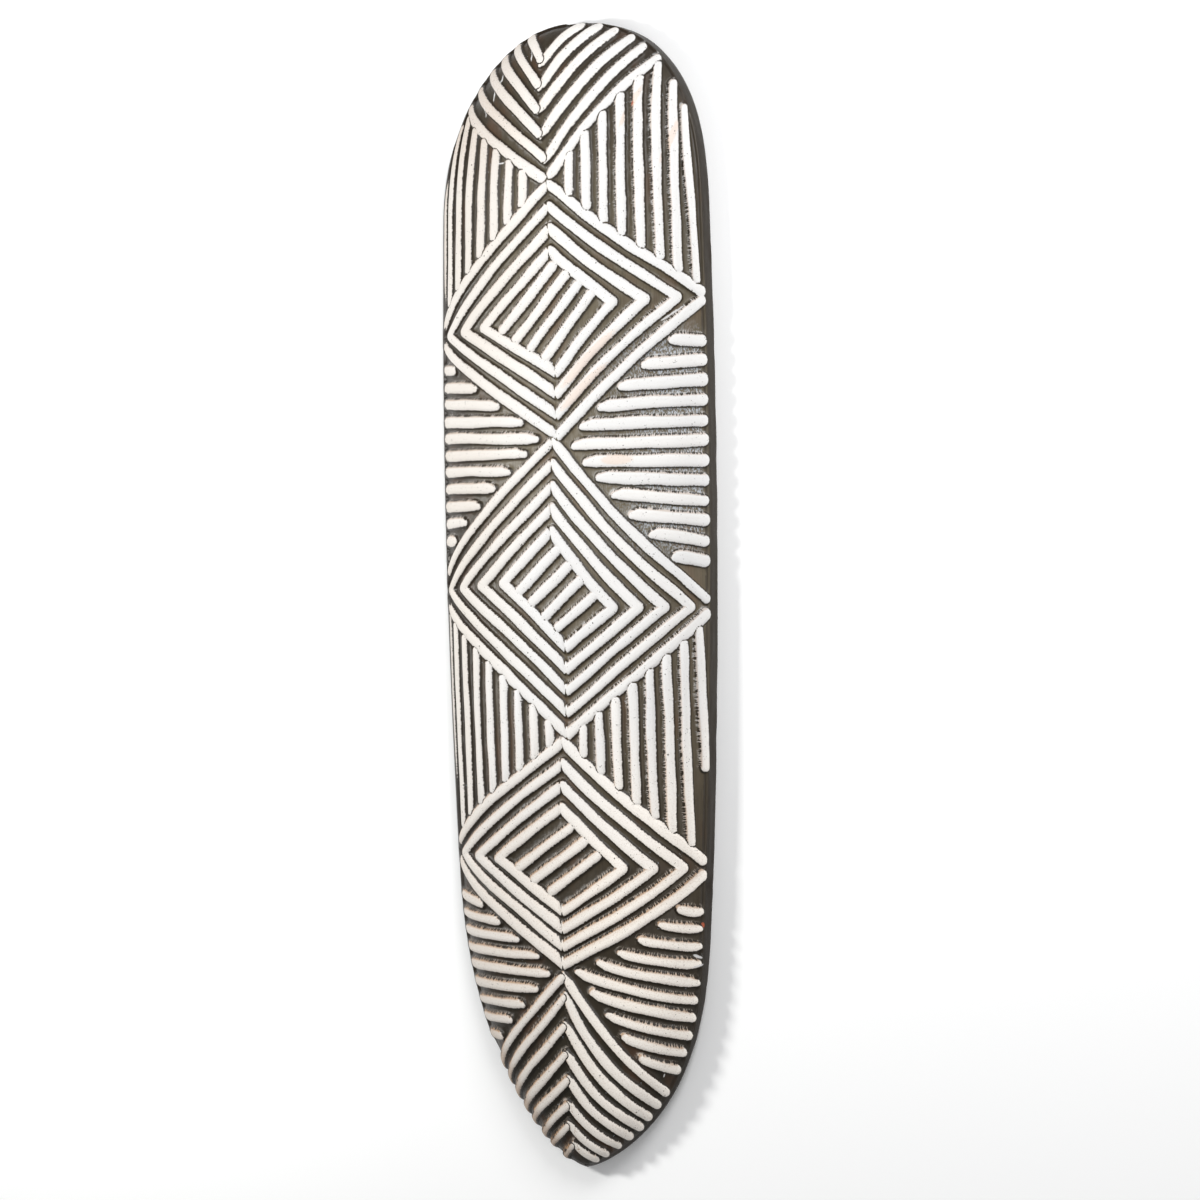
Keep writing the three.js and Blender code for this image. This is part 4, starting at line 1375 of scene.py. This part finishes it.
@dataclass(frozen=True)
class CarvedFinish(Finish):
    """Dark wood with white paint on its raised strokes."""

    name: str = "painted_carving"
    white: Colour = shade(217, 216, 215)
    # The left cream is darker: painted shade on the left side.
    left_shaded_cream: Colour = shade(207, 201, 194)
    right_cream: Colour = shade(243, 236, 227)
    tan: Colour = shade(158, 124, 92)
    grounds: tuple = (shade(33, 28, 16), shade(50, 42, 29), shade(87, 77, 60), shade(107, 98, 81),
                      shade(92, 83, 66), shade(49, 41, 30))
    crease: Colour = shade(34, 26, 16)
    rust: Colour = shade(98, 62, 38)
    glint: Colour = shade(196, 204, 214)
    peach: Colour = shade(214, 176, 146)
    ember: Colour = shade(176, 84, 52)
    peach_marks: tuple = (
        Mark((73, 417), 22.0, 3.6, 64), Mark((111, 386), 24.0, 4.0, 68),
        Mark((35, 201), 40.0, 5.5, 42), Mark((31, 177), 34.0, 5.5, 40),
        Mark((-8, 489), 14.0, 3.6, 35), Mark((62, 113), 17.0, 5.0, 0),
    )
    ember_marks: tuple = (Mark((74.5, 420), 2.2, 1.4, 70), Mark((132, -286), 1.6, 2.4, 0))
    white_marks: tuple = (
        Mark((-30.5, 473), 5.5, 0.9, 97), Mark((-64, 456), 5.0, 0.9, 98),
        Mark((-70.5, 441), 6.0, 1.1, 98), Mark((-78.5, 427), 5.0, 0.9, 98),
        Mark((-53, 378.5), 3.0, 0.7, 10), Mark((114, 237.5), 15.0, 0.9, 30),
        Mark((125, -313), 5.0, 1.6, 160), Mark((124, -321), 7.0, 1.0, 10),
        Mark((83, -416), 2.0, 0.6, 60),
    )

    def surface(self, graph: Graph, place: object) -> Surface:
        """Draws bare ground with painted shade and painted glints on it, and over it paint that
        wears, bears marks and darkens to tan on the left as painted shade.
        """
        at = Readings.of(graph, place)
        grain = WoodGrain.place(graph, place=place, fineness=1.0).outputs
        # Painted shade on the left of the paint: near the left edge, over the foot's left and over
        # the head's left. The foot's mask also wears and hatches the paint there.
        left_edge_shade = graph.times(graph.span(graph.times(at.edge, -1.0), 0.2, 26.0, 1.0, 0.0),
                                graph.math("LESS_THAN", at.edge, 0.0))
        outwards = graph.spans((at.edge, -42.0, -20.0), (at.edge, 0.2, -0.2))
        foot_left = graph.times(graph.span(at.y, -0.37, -0.41), outwards)
        head_left = graph.spans((at.y, 0.35, 0.42), (at.x, 0.0, -0.07))
        brush = Brushwork.place(
            graph, place=place, cover=at.cover, run=graph.measure("run"),
            aside=graph.measure("aside"), tone=at.tone, lit=at.lit,
            wear=graph.plus(graph.times(at.lower, 0.30), graph.times(foot_left, 0.25)),
            hatch=graph.times(foot_left, graph.span(at.lit, -0.4, 0.6))).outputs
        paint = self.paint(graph, at, (left_edge_shade, foot_left, head_left), brush)
        colour = graph.mix(brush["Paint"], self.ground(graph, at, grain), paint)
        colour = self.marked(graph, at, colour, self.white_marks, self.white, 0.85)
        colour = self.marked(graph, at, colour, self.ember_marks, self.ember, 0.8)
        roughness = graph.plus(graph.times(brush["Paint"], 0.30),
                               graph.times(grain["Patches"], 0.25), 0.30)
        height = graph.plus(graph.times(grain["Height"], 0.5), graph.times(brush["Bristles"], 0.35),
                            graph.times(brush["Paint"], 0.5))
        return Surface(colour, roughness, height, 0.55, 0.0004, 0.35)

    def marked(self, graph: Graph, at: Readings, colour: object, marks: tuple, tint: Colour,
               amount: float) -> bpy.types.NodeSocket:
        """A colour with marks of a tint over it."""
        for mark in marks:
            colour = graph.mix(graph.times(mark.mask(graph, at.face), amount), colour, tint)
        return colour

    def ground(self, graph: Graph, at: Readings, grain: object) -> bpy.types.NodeSocket:
        """The bare wood between the strokes: palest above the middle, near black at the foot, with
        painted shade on the left and along the strokes.
        """
        drift = graph.about_half(graph.noise(at.place, 9.0, 2.0), 0.2)
        up = graph.plus(at.y, graph.times(at.x, 0.35), drift)
        # Painted glints: pale blue-grey streaks of painted reflection in the grooves between the
        # right lying bars, and pale specks scattered over the grooves next to the strokes.
        streaks = graph.noise(at.place, (1100.0, 420.0, 400.0), 4.0)
        between = graph.spans((at.y, 0.235, 0.20), (at.y, 0.02, 0.05), (at.x, 0.060, 0.100, 0.25),
                              (at.x, 0.03, 0.05), (at.edge, 5.0, 9.0))
        painted_glint = graph.times(graph.span(streaks, 0.44, 0.64), between, 0.7)
        chance = graph.noise(at.place, 130.0)
        dust = graph.times(graph.dots(at.place, 520.0, graph.span(chance, 0.52, 0.75, 0.0, 0.34)),
                           graph.span(at.cover, -3.6, -0.6), 0.6)
        # Layers over the ramp: the left side darkened as painted shade, grain, rust patches, the
        # painted glints and pale specks, painted shade along the feet of the strokes, a painted
        # shadow line 2 to 5 mm in from the right edge, and a dark band along the left edge.
        layers = (
            (graph.span(at.x, -0.03, -0.11, 0.0, 0.82), self.crease),
            (graph.span(grain["Streaks"], 0.35, 0.75, 0.0, 0.5), self.crease),
            (graph.span(grain["Patches"], 0.52, 0.72, 0.0, 0.3), self.rust),
            (graph.math("MAXIMUM", painted_glint, dust), self.glint),
            (graph.times(graph.span(at.cover, -1.9, -0.7), 0.8), self.crease),
            (graph.times(graph.spans((at.edge, 1.6, 3.0), (at.edge, 5.4, 3.6)), 0.6), self.crease),
            (graph.times(graph.spans((at.edge, -22.0, -10.0), (at.edge, 3.0, -1.0)), 0.9),
             self.crease),
        )
        ground = graph.ramp(up, -0.42, 0.48, self.grounds)
        for share, tint in layers:
            ground = graph.mix(share, ground, tint)
        return ground

    def paint(self, graph: Graph, at: Readings, left_shades: tuple, brush: object) -> bpy.types.NodeSocket:
        """The paint: white on the upper right, cream below, and a darker cream on the left that is
        painted shade.
        """
        left_shade = graph.span(graph.plus(at.x, graph.times(at.y, -0.15)), 0.01, -0.12)
        cream_and_shade = graph.plus(graph.math("MAXIMUM", graph.times(left_shade, 0.9), at.lower),
                                graph.about_half(at.tone, 0.35), clamp=True)
        cream = graph.mix(graph.span(at.x, -0.10, 0.09), self.left_shaded_cream, self.right_cream)
        paint = graph.mix(cream_and_shade, self.white, cream)
        # Tan on the upper left of a stroke: along its edge, and on the lower part over its whole
        # upper left side, where it is painted shade.
        thin = graph.spans((at.cover, 2.2, 0.6), (at.lit, 0.1, 0.6), (at.cover, -1.2, 0.0))
        side = graph.times(graph.span(at.lit, -0.1, 1.0), at.lower)
        mottle = graph.noise(graph.vector(at.x, at.y, 0.0), 750.0, 4.0, 0.7)
        # Tan over the paint: the upper left of strokes, the painted shade on the left, mottling and
        # bristle marks.
        amount = graph.plus(0.10, graph.times(at.lower, 0.32), graph.times(left_shades[2], 0.30))
        shares = zip(left_shades, (0.18, 0.45, 0.16))
        bare = graph.plus(graph.times(thin, 0.42), graph.times(side, 0.45),
                          *(graph.times(shaded, share) for shaded, share in shares),
                          graph.times(graph.span(mottle, 0.48, 0.72), amount),
                          graph.span(brush["Bristles"], 0.55, 0.8, 0.0, 0.16), clamp=True)
        paint = graph.mix(bare, paint, self.tan)
        paint = self.marked(graph, at, paint, self.peach_marks, self.peach, 0.34)
        return graph.mix(graph.times(brush["Specks"], 0.8), paint, self.crease)


@dataclass(frozen=True)
class BareFinish(Finish):
    """Oiled dark wood, gouged and a little dusty, for the back."""

    name: str = "bare_wood"
    deep: Colour = shade(58, 46, 34)
    light: Colour = shade(124, 100, 74)
    dust: Colour = shade(146, 132, 112)

    def surface(self, graph: Graph, place: object) -> Surface:
        """Draws grain and patches, with dust over them."""
        grain = WoodGrain.place(graph, place=place, fineness=0.8).outputs
        colour = graph.mix(graph.span(grain["Streaks"], 0.3, 0.7), self.light, self.deep)
        colour = graph.mix(graph.span(grain["Patches"], 0.45, 0.7, 0.0, 0.5), colour, self.deep)
        dusty = graph.span(graph.noise(place, 60.0, 5.0), 0.5, 0.75, 0.0, 0.35)
        colour = graph.mix(dusty, colour, self.dust)
        roughness = graph.span(grain["Patches"], 0.3, 0.7, 0.5, 0.72)
        return Surface(colour, roughness, grain["Height"], 0.7, 0.0006)


# ---- the studio ----


@dataclass(frozen=True)
class Studio:
    """A pale floor, soft lights and the camera."""

    target: tuple = (0.0, 0.0, 0.030)
    distance: float = 3.0
    azimuth: float = math.radians(30.0)     # to the shield's right
    pitch: float = math.radians(-1.31)      # towards its foot
    roll: float = math.radians(-0.945)
    lens: float = 103.5
    shift: tuple = (0.02734, -0.00539)
    floor_size: float = 14.0
    surroundings: Colour = (0.95, 0.97, 1.0, 1.0)
    surroundings_strength: float = 0.28

    def camera(self) -> None:
        """A camera that looks down on the shield from its right, turned so that +Y is up."""
        data = bpy.data.cameras.new("camera")
        data.sensor_width, data.lens, data.clip_end = 36.0, self.lens, 50.0
        data.shift_x, data.shift_y = self.shift
        camera = put("camera", data)
        back = Vector((math.sin(self.azimuth) * math.cos(self.pitch), math.sin(self.pitch),
                       math.cos(self.azimuth) * math.cos(self.pitch)))
        right = Vector((0.0, 1.0, 0.0)).cross(back).normalized()
        up = back.cross(right)
        turned_right = right * math.cos(self.roll) + up * math.sin(self.roll)
        turned_up = up * math.cos(self.roll) - right * math.sin(self.roll)
        turn = Matrix((turned_right, turned_up, back)).transposed().to_4x4()
        camera.matrix_world = Matrix.Translation(Vector(self.target) + back * self.distance) @ turn
        bpy.context.scene.camera = camera

    def light(self, name: str, place: Vector, size: float, power: float, tint: tuple) -> None:
        """A square soft light that points at the shield."""
        data = bpy.data.lights.new(name, "AREA")
        data.size, data.energy, data.color = size, power, tint
        lamp = put(name, data)
        lamp.location = place
        lamp.rotation_euler = (Vector(self.target) - place).to_track_quat("-Z", "Y").to_euler()

    def floor(self) -> None:
        """A pale matt floor under the shield."""
        half = self.floor_size / 2
        mesh = bpy.data.meshes.new("floor")
        corners = [(-half, -half, 0), (half, -half, 0), (half, half, 0), (-half, half, 0)]
        mesh.from_pydata(corners, [], [(0, 1, 2, 3)])
        material = bpy.data.materials.new("floor")
        material.use_nodes = True
        shader = material.node_tree.nodes["Principled BSDF"]
        shader.inputs["Base Color"].default_value = shade(247, 247, 247)
        shader.inputs["Roughness"].default_value = 0.9
        mesh.materials.append(material)
        floor = put("floor", mesh)

    def build(self) -> None:
        """Sets the camera, the floor, the lights and the plain surroundings."""
        self.camera()
        self.floor()
        self.light("low", Vector((-1.04, 0.2, 0.9)), 0.22, 16.5, (1.0, 1.0, 0.98))
        self.light("high", Vector((0.75, 0.8, 0.85)), 0.6, 13.0, (1.0, 1.0, 1.0))
        self.light("fill", Vector((1.1, -0.5, 1.3)), 0.9, 6.6, (1.0, 0.99, 0.97))
        world = bpy.data.worlds.new("surroundings")
        world.use_nodes = True
        background = world.node_tree.nodes["Background"]
        background.inputs["Color"].default_value = self.surroundings
        background.inputs["Strength"].default_value = self.surroundings_strength
        bpy.context.scene.world = world
        bpy.context.scene.view_settings.view_transform = "Standard"


def dress(piece: Object) -> None:
    """Gives the shield its two finishes: faces with a point on the face or walls are painted.

    Args:
        piece: The finished shield.
    """
    mesh = piece.data
    mesh.materials.clear()
    for finish in (CarvedFinish(), BareFinish()):
        mesh.materials.append(finish.build())
    starts, vertices = np.zeros(len(mesh.polygons), np.int32), np.zeros(len(mesh.loops), np.int32)
    mesh.polygons.foreach_get("loop_start", starts)
    mesh.loops.foreach_get("vertex_index", vertices)
    painted = np.maximum.reduceat(get_attribute(mesh, "outer")[vertices], starts) > 0.5
    mesh.polygons.foreach_set("material_index", np.where(painted, 0, 1).astype(np.int32))


def main() -> None:
    """Builds the studio and the shield."""
    logging.basicConfig(level=logging.INFO, format="%(name)s: %(message)s")
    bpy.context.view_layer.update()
    Studio().build()
    form = ShieldForm.from_box(*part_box("shield_board"))
    strokes = Pattern(form).carve()
    log.info("strokes: %d", len(strokes.spines))
    shield = CarvedShield(form, strokes).build()
    dress(shield)
    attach(shield, "root")
    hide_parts("shield_board")
    log.info("%s: %d triangles", shield.name, sum(len(p.vertices) - 2 for p in shield.data.polygons))


if __name__ == "__main__":
    main()
